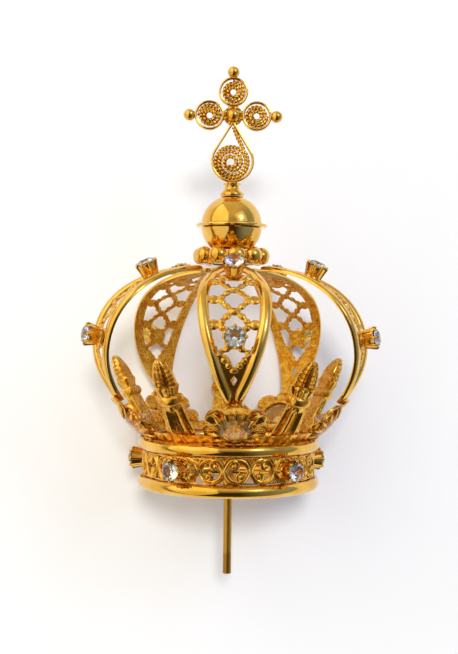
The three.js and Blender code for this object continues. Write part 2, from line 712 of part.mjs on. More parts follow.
// Cross: a drop-shaped loop below, three ring lobes, a boss and three end balls, all soldered
function cross() {
  const half = crossDepth / 2;
  const dropCentre = dropBottom + crossDropRadius;
  const apex = dropBottom + crossDropHeight;
  const dropPath = (radius, top) => {
    const tangentAngle = Math.acos(radius / (top - dropCentre));
    const steps = 16;
    const arc = Array.from({ length: steps + 1 }, (_, i) => {
      const angle = Math.PI / 2 - tangentAngle - ((2 * Math.PI - 2 * tangentAngle) * i) / steps;
      return vector(radius * Math.cos(angle), dropCentre + radius * Math.sin(angle));
    });
    return [vector(0, top), ...arc];
  };
  const outer = dropPath(crossDropRadius, apex + 1.6);
  const inner = dropPath(crossDropRadius - crossStrip, apex);
  const drop = loft(outer.map((point, i) => [
    new THREE.Vector3(point.x, -half, point.y), new THREE.Vector3(point.x, half, point.y),
    new THREE.Vector3(inner[i].x, half, inner[i].y), new THREE.Vector3(inner[i].x, -half, inner[i].y),
  ]), true);
  const upright = (geometry, x, z) => {
    const placed = geometry.clone().applyMatrix4(new THREE.Matrix4().makeRotationX(Math.PI / 2));
    return placed.translate(x, 0, z);
  };
  const lobeProfile = [[crossLobeRadius - crossStrip, -half], [crossLobeRadius, -half],
    [crossLobeRadius, half], [crossLobeRadius - crossStrip, half]];
  const spiral = (x, z, outerTurn, innerTurn, start, turns, lead = []) => {
    const count = Math.round(turns * 9);
    const path = [...lead];
    for (let i = 0; i <= count; i++) {
      const share = i / count;
      const angle = start - share * turns * 2 * Math.PI;
      const radius = outerTurn + (innerTurn - outerTurn) * share;
      path.push(vector(x + radius * Math.cos(angle), z + radius * Math.sin(angle)));
    }
    return toSolid(planarWire(path, twistedWire / 2, 4));
  };
  const ball = (radius, x, z) => {
    const profile = sphereArc(radius, -radius, radius, 4);
    profile[0] = [0, -radius];
    profile[profile.length - 1] = [0, radius];
    return toSolid(turned(profile, 8).translate(x, 0, z));
  };
  const endReach = crossLobeOffset + crossLobeRadius + crossBallRadius - 0.3;
  const lobeTurn = crossLobeRadius - crossStrip - twistedWire / 2 + 0.12;
  const hubProfile = [[0, -half * 0.6], [crossHubRadius, -half * 0.6], [crossHubRadius, half * 0.6],
    [0, half * 0.6]];
  const pieces = [toSolid(drop), ball(crossBossRadius, 0, crossLevel),
    toSolid(upright(turned(hubProfile, 8), 0, crossLevel))];
  [[-1, 0], [0, 1], [1, 0]].forEach(([x, z], i) => {
    const lobeX = x * crossLobeOffset;
    const lobeZ = crossLevel + z * crossLobeOffset;
    pieces.push(toSolid(upright(turned(lobeProfile, 12), lobeX, lobeZ)));
    pieces.push(spiral(lobeX, lobeZ, lobeTurn, twistedWire * 0.9, Math.PI * (1 - i / 2), 1.3));
    pieces.push(ball(crossBallRadius, x * endReach, crossLevel + z * endReach));
  });
  const dropTurn = crossDropRadius - crossStrip - twistedWire / 2 - 0.25;
  const spiralZ = dropCentre - 0.4;
  const lead = [vector(dropLeadStart / 2, apex - dropLeadStart),
    vector(crossDropRadius * 0.35, apex - dropLeadHeight)];
  pieces.push(spiral(-0.1, spiralZ, dropTurn, 1.35, 0.75, 2.45, lead));
  return toGeometry(join(pieces));
}

// Assembly in the crown's upright frame
const crown = new THREE.Group();
const densities = new Map();

function addPiece(parent, name, geometry, material, density = brassDensity) {
  const mesh = new THREE.Mesh(geometry, material);
  mesh.name = name;
  parent.add(mesh);
  densities.set(mesh, density);
  return mesh;
}

// Group turned about the crown's axis: +X in it points outwards at that azimuth from the front
function spoke(azimuth) {
  const group = new THREE.Group();
  group.rotation.z = azimuth - Math.PI / 2;
  crown.add(group);
  return group;
}

// Group whose +Z points out of a surface with the given centre and outward direction
function seat(parent, centre, outward) {
  const group = new THREE.Group();
  group.position.set(centre.x, 0, centre.z);
  group.rotation.y = Math.atan2(outward.x, outward.z);
  parent.add(group);
  return group;
}

function addStoneInCup(parent, name, cupHeight) {
  addPiece(parent, `${name.replace('#', 'setting')}`, clawCup(cupHeight), goldBrass());
  const jewel = addPiece(parent, `${name.replace('#', 'crystal')}`, stone(stoneDiameter, 8), clearGlass(),
    glassDensity);
  jewel.position.z = cupHeight - girdleDepth;
}

const barHalfLength = Math.sqrt(ringInnerRadius ** 2 - (barWidth / 2) ** 2) - solderGap - barEndClearance;
addPiece(crown, 'crossbar', new THREE.BoxGeometry(barWidth, 2 * barHalfLength, barThickness), goldBrass())
  .position.z = lowerRingLevel;
const rodTop = lowerRingLevel - barThickness / 2 - solderGap;
const rod = addPiece(crown, 'rod',
  new THREE.CylinderGeometry(rodDiameter / 2, rodDiameter / 2, rodTop + rodReach, 12), brownBrass());
rod.rotation.x = Math.PI / 2;
rod.position.z = (rodTop - rodReach) / 2;

addPiece(crown, 'lower_ring', baseRing(), goldBrass()).position.z = lowerRingLevel;
addPiece(crown, 'upper_ring', baseRing(), goldBrass()).position.z = upperRingLevel;
addPiece(crown, 'scroll_band', scrollBand(), goldBrass()).position.z = ringWire + solderGap;
addPiece(crown, 'cresting', cresting(), goldBrass());

const leaf = archLeaf();
const bulgeSeat = onArch(0, bulgeStoneAt, latticeDepth + solderGap);
const bulgeOut = onArch(0, bulgeStoneAt, latticeDepth + 1).sub(onArch(0, bulgeStoneAt, latticeDepth));
const topSeat = onArch(0, topStoneAt, latticeDepth + solderGap);
const topOut = onArch(0, topStoneAt, latticeDepth + 1).sub(onArch(0, topStoneAt, latticeDepth));
// The front arch's top cup leans further out than the others
const tiltedTopSeat = (front) => seat(front,
  topSeat.clone().addScaledVector(topOut, Math.sin(frontTopTilt) * cupBaseDiameter / 2),
  topOut.clone().applyAxisAngle(new THREE.Vector3(0, 1, 0), frontTopTilt));
const bandSeat = new THREE.Vector3(bandOuterRadius + solderGap, 0, (lowerRingLevel + upperRingLevel) / 2);
const flowerFace = new THREE.Vector3(flowerTangent.y, 0, -flowerTangent.x);
const flowerSeat = new THREE.Vector3(flowerCentre.x, 0, flowerCentre.y);
for (let i = 0; i < archCount; i++) {
  const onLeaf = spoke(i * spokeStep + archTurn);
  addPiece(onLeaf, `arch_${i + 1}`, leaf.clone(), goldBrass());
  addStoneInCup(seat(onLeaf, bulgeSeat, bulgeOut), `bulge_#_${i + 1}`, bulgeCupHeight);
  const topPlace = i === 0 ? tiltedTopSeat(onLeaf) : seat(onLeaf, topSeat, topOut);
  addStoneInCup(topPlace, `top_#_${i + 1}`, topCupHeight);
  addPiece(seat(spoke(i * spokeStep), flowerSeat, flowerFace), `flower_crystal_${i + 1}`,
    stone(bigStoneDiameter, 12), clearGlass(), glassDensity);
  const between = spoke((i + 0.5) * spokeStep);
  addStoneInCup(seat(between, bandSeat, new THREE.Vector3(1, 0, 0)), `band_#_${i + 1}`, bandCupHeight);
}

const beads = addPiece(crown, 'bead_ring', beadRing(), goldBrass());
beads.position.z = beadRingBottom;
beads.rotation.z = beadTurn - Math.PI / 2;
addPiece(crown, 'orb_bowl', orbBowl(), goldBrass()).position.z = orbLevel;
addPiece(crown, 'orb_dome', orbDome(), goldBrass()).position.z = orbLevel;
addPiece(crown, 'finial_collar', finialCollar(), goldBrass()).position.z = collarBottom;
addPiece(crown, 'cross', cross(), goldBrass());

// Every vertex of the crown in the upright frame, and the height of its balance point
function surveyCrown() {
  crown.updateMatrixWorld(true);
  const profile = [];
  let mass = 0;
  let moment = 0;
  densities.forEach((density, mesh) => {
    const position = mesh.geometry.getAttribute('position');
    const points = Array.from({ length: position.count }, (_, i) =>
      new THREE.Vector3().fromBufferAttribute(position, i).applyMatrix4(mesh.matrixWorld));
    const corners = mesh.geometry.getIndex().array;
    const normal = new THREE.Vector3();
    for (let i = 0; i < corners.length; i += 3) {
      const [a, b, c] = [points[corners[i]], points[corners[i + 1]], points[corners[i + 2]]];
      const share = (a.dot(normal.crossVectors(b, c)) / 6) * density;
      mass += share;
      moment += (share * (a.z + b.z + c.z)) / 4;
    }
    profile.push(...points.map((point) => vector(point.z, point.y)));
  });
  return { profile, balance: moment / mass };
}

// The line under the crown's back that passes below its balance point gives the lean at rest
function restingLean() {
  const { profile, balance } = surveyCrown();
  profile.sort((a, b) => a.x - b.x || a.y - b.y);
  const hull = [];
  profile.forEach((point) => {
    while (hull.length > 1) {
      const [before, last] = hull.slice(-2);
      const bend = (last.x - before.x) * (point.y - before.y) - (last.y - before.y) * (point.x - before.x);
      if (bend < 0) {
        break;
      }
      hull.pop();
    }
    hull.push(point);
  });
  const next = hull.findIndex((point) => point.x > balance);
  const [near, far] = [hull[next - 1], hull[next]];
  return Math.atan2(far.y - near.y, far.x - near.x);
}

crown.rotation.x = restingLean() - Math.PI / 2;
const laid = new THREE.Box3().setFromObject(crown, true);
crown.position.set(-(laid.min.x + laid.max.x) / 2, -(laid.min.y + laid.max.y) / 2, -laid.min.z);

const part = new THREE.Group();
part.add(crown);
export default part;
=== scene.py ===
import math
import bmesh
import bpy
import numpy as np
from mathutils import Matrix, Vector


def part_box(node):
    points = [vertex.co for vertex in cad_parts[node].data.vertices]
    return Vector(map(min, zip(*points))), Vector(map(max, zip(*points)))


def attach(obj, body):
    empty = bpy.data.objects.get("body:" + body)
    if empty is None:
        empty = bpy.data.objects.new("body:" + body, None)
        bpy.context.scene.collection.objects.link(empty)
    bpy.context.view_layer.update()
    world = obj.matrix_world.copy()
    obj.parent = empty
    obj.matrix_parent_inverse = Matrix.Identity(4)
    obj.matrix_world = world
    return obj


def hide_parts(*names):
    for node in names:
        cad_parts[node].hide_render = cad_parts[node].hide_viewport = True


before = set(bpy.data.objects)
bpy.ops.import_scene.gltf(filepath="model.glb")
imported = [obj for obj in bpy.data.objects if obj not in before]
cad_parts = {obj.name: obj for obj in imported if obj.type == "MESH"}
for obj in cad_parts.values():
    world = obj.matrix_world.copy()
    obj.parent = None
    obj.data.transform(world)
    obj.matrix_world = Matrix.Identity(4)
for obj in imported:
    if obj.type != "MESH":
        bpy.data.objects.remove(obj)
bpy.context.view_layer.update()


# Base rings. Two hoops of round brass wire, 3.5 mm thick, soldered above and below the band.
# They are polished and gilded, so they show long bright streaks between dark gold reflections.
# The crown lies on its back, and all sizes here are in millimetres in its own upright frame.
ring_wire_radius = 1.75
ring_radius = 23.55


def middle(node):
    low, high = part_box(node)
    return (low + high) / 2


def upright_frame():
    upward = (middle("upper_ring") - middle("lower_ring")).normalized()
    sideways = Vector((1, 0, 0))
    backward = upward.cross(sideways)
    turn = Matrix((sideways, backward, upward)).transposed().to_4x4()
    foot = middle("lower_ring") - upward * ring_wire_radius * 0.001
    return Matrix.Translation(foot) @ turn @ Matrix.Scale(0.001, 4)


crown_place = upright_frame()
crown_heart = crown_place @ Vector((0, 0, 33))


def linear(hex_colour):
    channels = [int(hex_colour[i:i + 2], 16) / 255 for i in (1, 3, 5)]
    return tuple(c / 12.92 if c <= 0.04045 else ((c + 0.055) / 1.055) ** 2.4 for c in channels) + (1,)


def feed(tree, node, inputs):
    """Set a node's inputs, or link them where a socket is given."""
    for name, value in inputs.items():
        if isinstance(value, bpy.types.NodeSocket):
            tree.links.new(value, node.inputs[name])
        else:
            node.inputs[name].default_value = value


def add_node(tree, kind, inputs=None, **settings):
    node = tree.nodes.new(kind)
    for key, value in settings.items():
        setattr(node, key, value)
    feed(tree, node, inputs or {})
    return node


def new_material(name):
    material = bpy.data.materials.new(name)
    material.use_nodes = True
    tree = material.node_tree
    return material, tree, tree.nodes["Principled BSDF"]


def gilded(name, golds, cloud, grain, roughness, relief):
    """Gilded brass: a cloud drifts between two golds, and a grain lifts the surface; scales are per metre."""
    material, tree, shader = new_material(name)
    place = add_node(tree, "ShaderNodeTexCoord")
    noises = {}
    for use, (scale, detail) in (("cloud", cloud), ("grain", grain)):
        noises[use] = add_node(tree, "ShaderNodeTexNoise", {
            "Vector": place.outputs["Object"], "Scale": scale, "Detail": detail}).outputs["Fac"]
    tint = add_node(tree, "ShaderNodeValToRGB", {"Fac": noises["cloud"]})
    for element, (position, colour) in zip(tint.color_ramp.elements, golds):
        element.position = position
        element.color = linear(colour)
    driver, (low, high), (rough_at_low, rough_at_high) = roughness
    rough = add_node(tree, "ShaderNodeMapRange", {
        "Value": noises[driver], "From Min": low, "From Max": high, "To Min": rough_at_low,
        "To Max": rough_at_high})
    strength, distance = relief
    bump = add_node(tree, "ShaderNodeBump", {
        "Height": noises["grain"], "Strength": strength, "Distance": distance})
    feed(tree, shader, {"Base Color": tint.outputs["Color"], "Roughness": rough.outputs["Result"],
                        "Normal": bump.outputs["Normal"], "Metallic": 1})
    return material


def polished_gilding():
    """Bright gilding on polished brass: a soft mirror with faint buffing marks and pale worn spots."""
    return gilded("polished gilding", golds=((0.35, "#E0A83E"), (0.7, "#F2C564")), cloud=(160, 4),
                  grain=(900, 3), roughness=("grain", (0, 1), (0.06, 0.17)), relief=(0.05, 0.0001))


polished = polished_gilding()


def round_angles(count):
    return np.linspace(0, 2 * math.pi, count + 1)[:-1]


def skin(loops, closed=False):
    """Skin over loops with equal counts; open rows get a cap at each end."""
    loops = np.asarray(loops, float)
    rows, count = loops.shape[:2]
    column = np.arange(count)
    side = (column + 1) % count
    faces = []
    for row in range(rows if closed else rows - 1):
        here, there = row * count, ((row + 1) % rows) * count
        faces += np.stack([here + column, here + side, there + side, there + column], 1).tolist()
    if not closed:
        faces.append(list(range(count))[::-1])
        faces.append([(rows - 1) * count + i for i in range(count)])
    return loops.reshape(-1, 3), faces


def gather(*shapes):
    points, faces = [], []
    start = 0
    for shape_points, shape_faces in shapes:
        points.append(shape_points)
        faces += [[index + start for index in face] for face in shape_faces]
        start += len(shape_points)
    return np.concatenate(points), faces


def lathe(profile, columns=64, wobble=None):
    """Turned wall from a closed profile of radii and heights."""
    profile = np.asarray(profile, float)
    loops = []
    for i in range(columns):
        angle = 2 * math.pi * i / columns
        radius = profile[:, 0] + (wobble(angle, profile) if wobble else 0)
        loops.append(np.stack([radius * math.cos(angle), radius * math.sin(angle), profile[:, 1]], 1))
    return skin(loops, closed=True)


def mesh_of(name, shape):
    points, faces = shape
    mesh = bpy.data.meshes.new(name)
    mesh.from_pydata([tuple(point) for point in points], [], [tuple(face) for face in faces])
    return mesh


def into_scene(name, data):
    thing = bpy.data.objects.new(name, data)
    bpy.context.scene.collection.objects.link(thing)
    return thing


def make_piece(name, shape, material, nodes, smooth=35, inner=None):
    """Piece in the crown's place; faces that look into the crown may have a second material."""
    mesh = mesh_of(name, shape)
    mesh.transform(crown_place)
    work = bmesh.new()
    work.from_mesh(mesh)
    bmesh.ops.remove_doubles(work, verts=work.verts, dist=2e-7)
    bmesh.ops.recalc_face_normals(work, faces=work.faces)
    work.to_mesh(mesh)
    work.free()
    mesh.polygons.foreach_set("use_smooth", [smooth > 0] * len(mesh.polygons))
    if smooth:
        mesh.set_sharp_from_angle(angle=math.radians(smooth))
    mesh.materials.append(material)
    if inner:
        mesh.materials.append(inner)
        for face in mesh.polygons:
            face.material_index = int(face.normal.dot((crown_heart - face.center).normalized()) > 0.25)
    piece = into_scene(name, mesh)
    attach(piece, "root")
    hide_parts(*nodes)
    return piece


def ring_at(level):
    section = []
    for i in range(28):
        angle = 2 * math.pi * i / 28
        section.append((ring_radius + ring_wire_radius * math.cos(angle),
                        level + ring_wire_radius * math.sin(angle)))
    return lathe(section, 128)


ring_levels = {"lower_ring": 1.75, "upper_ring": 12.3}
for node, level in ring_levels.items():
    make_piece(node + "_wire", ring_at(level), polished, [node])


# Fixing rod and crossbar. A round brass rod, 2.35 mm thick, is brazed to a flat bar that
# crosses the lower ring; the rod drops into the statue's head and is darker and browner near its end.
rod_radius = 1.16
rod_end_level = -24.3
rod_top_level = 0.75
darker_end_from = -18.5


def drawn_brass():
    """Drawn brass rod: fine lines along it, and darker and browner over the last 6 mm."""
    material, tree, shader = new_material("drawn brass rod")
    place = add_node(tree, "ShaderNodeTexCoord")
    stretched = add_node(tree, "ShaderNodeMapping", {"Vector": place.outputs["Object"],
                                                     "Scale": (4000, 150, 4000)})
    lines = add_node(tree, "ShaderNodeTexNoise", {"Vector": stretched.outputs["Vector"], "Scale": 1,
                                                  "Detail": 3})
    parts = add_node(tree, "ShaderNodeSeparateXYZ", {"Vector": place.outputs["Object"]})
    dark_from = (crown_place @ Vector((0, 0, darker_end_from)))[1]
    darker_end_fade = add_node(tree, "ShaderNodeMapRange", {
        "Value": parts.outputs["Y"], "From Min": dark_from - 0.0006, "From Max": dark_from + 0.0004})
    tint = add_node(tree, "ShaderNodeMix", {
        "Factor": darker_end_fade.outputs["Result"], "A": linear("#A87A30"), "B": linear("#C4943C")},
        data_type="RGBA")
    rough = add_node(tree, "ShaderNodeMapRange", {"Value": lines.outputs["Fac"], "To Min": 0.25,
                                                  "To Max": 0.42})
    bump = add_node(tree, "ShaderNodeBump", {"Height": lines.outputs["Fac"], "Strength": 0.2,
                                             "Distance": 0.0001})
    feed(tree, shader, {"Base Color": tint.outputs["Result"], "Roughness": rough.outputs["Result"],
                        "Normal": bump.outputs["Normal"], "Metallic": 1})
    return material


rod_profile = [(0.02, rod_end_level), (rod_radius - 0.15, rod_end_level),
               (rod_radius, rod_end_level + 0.15), (rod_radius, rod_top_level), (0.02, rod_top_level)]
make_piece("fixing_rod", lathe(rod_profile, 40), drawn_brass(), ["rod"])


def flat_bar():
    low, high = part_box("crossbar")
    half_length = 0.5 * (high[2] - low[2]) / 0.001 - 0.3
    corner = [(-2, -0.5), (-1.8, -0.72), (1.8, -0.72), (2, -0.5), (2, 0.5), (1.8, 0.72), (-1.8, 0.72),
              (-2, 0.5)]
    loops = []
    for y, scale in ((-half_length, 0.9), (-half_length + 0.2, 1), (half_length - 0.2, 1),
                     (half_length, 0.9)):
        loops.append([(x * scale, y, 1.75 + z * scale) for x, z in corner])
    return skin(loops)


make_piece("flat_crossbar", flat_bar(), polished, ["crossbar"])


# Pierced band. A cast strip, bent round and soldered between the rings: 22 ovals in mirrored
# pairs, each made of two grooved scroll strokes whose ends curl inwards round a small ball.
band_pairs = 11
band_bottom = 3.72
band_height = 6.6
band_radius = 23.45
band_turn = math.radians(-14.05)


def cast_gilding():
    """Gilding on a rough casting: grains of about 0.5 mm that glitter, more orange than polished parts."""
    return gilded("cast gilding", golds=((0.36, "#D9931F"), (0.62, "#F4C047")), cloud=(500, 5),
                  grain=(1300, 2), roughness=("cloud", (0.3, 0.7), (0.2, 0.08)), relief=(1, 0.0006))


cast = cast_gilding()


def burnished_casting():
    """Outer side of the castings, filed and burnished: brighter and smoother than the rough inner side."""
    return gilded("burnished casting", golds=((0.35, "#D08C24"), (0.6, "#F0BC50")), cloud=(700, 4),
                  grain=(700, 4), roughness=("cloud", (0.3, 0.7), (0.3, 0.14)), relief=(0.3, 0.0003))


burnished = burnished_casting()


def copies_tree():
    """Geometry nodes that set copies of a mesh round the Z axis."""
    tree = bpy.data.node_groups.new("copies round an axis", "GeometryNodeTree")
    for name, kind in (("Geometry", "Geometry"), ("Count", "Int"), ("Step", "Float"),
                       ("First angle", "Float"), ("Material", "Material")):
        tree.interface.new_socket(name=name, in_out="INPUT", socket_type="NodeSocket" + kind)
    tree.interface.new_socket(name="Geometry", in_out="OUTPUT", socket_type="NodeSocketGeometry")
    given = add_node(tree, "NodeGroupInput")
    line = add_node(tree, "GeometryNodeMeshLine", {"Count": given.outputs["Count"], "Offset": (0, 0, 0)})
    index = add_node(tree, "GeometryNodeInputIndex")
    angle = add_node(tree, "ShaderNodeMath", {
        0: index.outputs[0], 1: given.outputs["Step"], 2: given.outputs["First angle"]},
        operation="MULTIPLY_ADD")
    euler = add_node(tree, "ShaderNodeCombineXYZ", {"Z": angle.outputs[0]})
    turn = add_node(tree, "FunctionNodeEulerToRotation", {0: euler.outputs[0]})
    copies = add_node(tree, "GeometryNodeInstanceOnPoints", {
        "Points": line.outputs["Mesh"], "Instance": given.outputs["Geometry"], "Rotation": turn.outputs[0]})
    real = add_node(tree, "GeometryNodeRealizeInstances", {"Geometry": copies.outputs[0]})
    finish = add_node(tree, "GeometryNodeSetMaterial", {
        "Geometry": real.outputs[0], "Material": given.outputs["Material"]})
    add_node(tree, "NodeGroupOutput", {"Geometry": finish.outputs[0]})
    return tree


round_the_axis = copies_tree()


def copied_round(shape, count, first_angle=0.0, material=cast, step=None):
    """Points and faces of count copies of a shape round the Z axis, evenly spread unless a step is given."""
    mesh = mesh_of("one copy", shape)
    carrier = into_scene("one copy", mesh)
    modifier = carrier.modifiers.new("copies", "NODES")
    modifier.node_group = round_the_axis
    values = {"Count": count, "Step": step or 2 * math.pi / count, "First angle": first_angle,
              "Material": material}
    for item in round_the_axis.interface.items_tree:
        if item.in_out == "INPUT" and item.name in values:
            modifier[item.identifier] = values[item.name]
    bpy.context.view_layer.update()
    depsgraph = bpy.context.evaluated_depsgraph_get()
    result = bpy.data.meshes.new_from_object(carrier.evaluated_get(depsgraph))
    coordinates = np.zeros(len(result.vertices) * 3)
    result.vertices.foreach_get("co", coordinates)
    all_faces = [list(polygon.vertices) for polygon in result.polygons]
    bpy.data.objects.remove(carrier)
    bpy.data.meshes.remove(mesh)
    bpy.data.meshes.remove(result)
    return coordinates.reshape(-1, 3), all_faces


def smooth_path(points, count):
    """Catmull-Rom curve through the points."""
    points = np.asarray(points, float)
    padded = np.vstack([2 * points[0] - points[1], points, 2 * points[-1] - points[-2]])
    result = []
    for t in np.linspace(0, len(points) - 1, count):
        i = min(int(t), len(points) - 2)
        f = t - i
        p0, p1, p2, p3 = padded[i:i + 4]
        result.append(0.5 * (2 * p1 + (p2 - p0) * f + (2 * p0 - 5 * p1 + 4 * p2 - p3) * f * f
                             + (3 * p1 - p0 - 3 * p2 + p3) * f ** 3))
    return np.array(result)


def flat_stroke(path, section, place, closed=False, swell=None):
    """Stroke along a flat path; place(u, v, w) sets each point in space, w standing out."""
    path = np.asarray(path, float)
    if closed:
        along = np.roll(path, -1, 0) - np.roll(path, 1, 0)
    else:
        along = np.gradient(path, axis=0)
    along /= np.linalg.norm(along, axis=1)[:, None] + 1e-12
    across = np.stack([along[:, 1], -along[:, 0]], 1)
    loops = []
    for i, point in enumerate(path):
        scale = 1 if swell is None else swell[i]
        loops.append([place(*(point + across[i] * a * scale), b * min(scale, 1.15)) for a, b in section])
    return skin(loops, closed)


def sphere(centre, radius, squash=(1, 1, 1), columns=12, rows=8):
    turns = [2 * math.pi * c / columns for c in range(columns)]
    loops = []
    for row in range(rows + 1):
        rise = -math.pi / 2 + math.pi * (row + 0.02) / (rows + 0.04)
        loops.append([(centre[0] + radius * squash[0] * math.cos(rise) * math.cos(turn),
                       centre[1] + radius * squash[1] * math.cos(rise) * math.sin(turn),
                       centre[2] + radius * squash[2] * math.sin(rise)) for turn in turns])
    return skin(loops)


def scroll_pair():
    """Two mirrored ovals with what joins them, centred on the open side between the two."""
    pair_width = 2 * math.pi * band_radius / band_pairs
    half_oval = pair_width / 4
    centre_v = band_bottom + band_height / 2

    def place(u, v, w):
        angle = u / band_radius
        radius = band_radius + w
        return (radius * math.cos(angle), radius * math.sin(angle), v)

    grooved = [(-0.5, -0.45), (0.5, -0.45), (0.54, 0.05), (0.42, 0.42), (0.22, 0.5), (0, 0.26),
               (-0.22, 0.5), (-0.42, 0.42), (-0.54, 0.05)]
    reach, rise = half_oval - 0.38, band_height / 2 - 0.38
    curl = (-0.98, -1.3)
    stroke = [(curl[0] + 0.1, curl[1] + 0.85), (curl[0] + 0.8, curl[1] + 0.35),
              (curl[0] + 0.95, curl[1] - 0.55), (curl[0] + 0.3, curl[1] - 1.3),
              (curl[0] - 0.75, curl[1] - 1.15)]
    for angle in (190, 170, 150, 130, 110, 90, 70, 50):
        a = math.radians(angle)
        stroke.append((reach * math.cos(a), rise * math.sin(a)))
    line = smooth_path(stroke, 44)
    taper = np.interp(np.arange(44), [0, 6, 34, 43], [0.9, 1.3, 1.3, 0.8])
    parts = []
    for side in (-1, 1):
        centre_u = side * half_oval
        for sign in (1, -1):
            path = np.stack([centre_u + side * sign * line[:, 0], centre_v + sign * line[:, 1]], 1)
            parts.append(flat_stroke(path, grooved, place, swell=taper))
            ball = place(centre_u + side * sign * curl[0], centre_v + sign * curl[1], 0.1)
            parts.append(sphere(ball, 0.78, columns=12, rows=8))
        top = place(centre_u, centre_v + rise - 0.75, 0.05)
        parts.append(sphere(top, 0.3, columns=8, rows=5))
    for u, low in ((0, False), (2 * half_oval, True), (-2 * half_oval, True)):
        lens = [(u, centre_v - 0.9), (u, centre_v + 0.9)]
        parts.append(flat_stroke(lens, grooved, place))
        drop_v = centre_v + rise - 0.3
        hanging = smooth_path([(u - 0.75, drop_v + 0.3), (u, drop_v - 0.75), (u + 0.75, drop_v + 0.3)], 9)
        parts.append(flat_stroke(hanging, grooved, place))
        if low:
            broad = [(a * 2, b * 0.8) for a, b in grooved]
            parts.append(flat_stroke([(u, band_bottom + 0.1), (u, band_bottom + 1.3)], broad, place,
                                     swell=(1, 0.2)))
    thin = [(-0.16, -0.45), (0.16, -0.45), (0.16, 0.3), (-0.16, 0.3)]
    for v in (band_bottom + 0.12, band_bottom + band_height - 0.12):
        parts.append(flat_stroke([(u, v) for u in np.linspace(-pair_width / 2, pair_width / 2, 13)], thin,
                                 place))
    return gather(*parts)


make_piece("scroll_band_casting", copied_round(scroll_pair(), band_pairs, band_turn), burnished,
           ["scroll_band"], inner=cast)


# Claw cups and small stones. Each stone, 5.2 mm across, sits in a brass basket of eight claws
# that are pressed over its edge; the basket is soldered to the band or to an arch.
stone_diameter = 5.2
cup_height = 4.75
bulge_cup_height = 4.85
band_cup_foot = (24.2, 7.03)


def cut_glass():
    """Clear lead glass, cut and polished, so the gold behind it shows through in broken patches."""
    material, tree, shader = new_material("cut clear glass")
    place = add_node(tree, "ShaderNodeTexCoord")
    haze = add_node(tree, "ShaderNodeTexNoise", {"Vector": place.outputs["Object"], "Scale": 1200,
                                                 "Detail": 2})
    rough = add_node(tree, "ShaderNodeMapRange", {"Value": haze.outputs["Fac"], "To Min": 0.0,
                                                  "To Max": 0.05})
    feed(tree, shader, {"Base Color": linear("#F4F6F5"), "Roughness": rough.outputs["Result"],
                        "Transmission Weight": 1, "IOR": 1.6})
    return material


glass = cut_glass()


def brilliant(diameter, folds=8, rows=((0.55, 0.195, 0), (0.84, 0.115, 0.5))):
    """Round stone; each row of facets above its girdle is a reach, a level and a shift."""
    radius = diameter / 2
    points = [(0, 0, -0.36 * diameter)]
    for k in range(folds):
        for reach, level, shift in (*rows, (0.55, -0.17, 0.5)):
            angle = 2 * math.pi * (k + shift) / folds
            points.append((radius * reach * math.cos(angle), radius * reach * math.sin(angle),
                           level * diameter))
        for half in (0, 0.5):
            angle = 2 * math.pi * (k + half) / folds
            for level in (0.008, -0.008):
                points.append((radius * 0.99 * math.cos(angle), radius * 0.99 * math.sin(angle),
                               level * diameter))
    hull = bmesh.new()
    for point in points:
        hull.verts.new(point)
    bmesh.ops.convex_hull(hull, input=hull.verts)
    hull.verts.index_update()
    shape = (np.array([vertex.co[:] for vertex in hull.verts]),
             [[vertex.index for vertex in face.verts] for face in hull.faces])
    hull.free()
    return shape


def claw_cup(height):
    """Basket with its base at zero and its axis along Z; the claws end just over the stone's edge."""
    foot = lathe([(1.9, 0), (2.3, 0), (2.38, 0.3), (2.25, 0.62), (1.9, 0.62)], 32)
    wall = lathe([(1.95, 0.4), (2.2, 0.4), (2.62, height * 0.55), (2.8, height - 1.3), (2.5, height - 1.3),
                  (2.3, height * 0.55)], 32)
    path = smooth_path([(2.2, 0, 0.5), (2.62, 0, height * 0.5), (2.92, 0, height - 1.15),
                        (2.92, 0, height - 0.8), (2.74, 0, height - 0.62)], 12)
    loops = []
    for i, point in enumerate(path):
        wide = np.interp(i, [0, 7, 11], [0.34, 0.44, 0.3])
        thick = np.interp(i, [0, 7, 11], [0.24, 0.32, 0.26])
        ahead = path[min(i + 1, 11)] - path[max(i - 1, 0)]
        ahead /= np.linalg.norm(ahead)
        outward = np.array([ahead[2], 0, -ahead[0]])
        loops.append([point + outward * thick * math.cos(a) + np.array([0, 1, 0]) * wide * math.sin(a)
                      for a in round_angles(8)])
    claw = gather(skin(loops), sphere((2.74, 0, height - 0.66), 0.4, columns=10, rows=6))
    return gather(foot, wall, copied_round(claw, 8))


def seated(shape, centre, outward, spin=0.0):
    """Shape turned so that its Z points outward in the XZ plane, at a centre there."""
    points, faces = shape
    cos_spin, sin_spin = math.cos(spin), math.sin(spin)
    x = points[:, 0] * cos_spin - points[:, 1] * sin_spin
    y = points[:, 0] * sin_spin + points[:, 1] * cos_spin
    z = points[:, 2]
    out = np.array([outward[0], outward[1]]) / math.hypot(*outward)
    side = np.array([out[1], -out[0]])
    placed = np.stack([centre[0] + side[0] * x + out[0] * z, y, centre[1] + side[1] * x + out[1] * z], 1)
    return placed, faces


def stones_round(group, height, places):
    """Cups and stones of one group; a place is a centre, an outward direction, a first angle and a count."""
    cups, stones = [], []
    for centre, outward, first_angle, count in places:
        cup = seated(claw_cup(height), centre, outward)
        stone = seated(brilliant(stone_diameter), np.array(centre) + (height - 0.8) * np.array(outward),
                       outward)
        cups.append(copied_round(cup, count, first_angle, polished, math.radians(72)))
        stones.append(copied_round(stone, count, first_angle, glass, math.radians(72)))
    make_piece(group + "_claw_cups", gather(*cups), polished,
               [f"{group}_setting_{i}" for i in range(1, 6)])
    make_piece(group + "_stones", gather(*stones), glass,
               [f"{group}_crystal_{i}" for i in range(1, 6)], smooth=0)


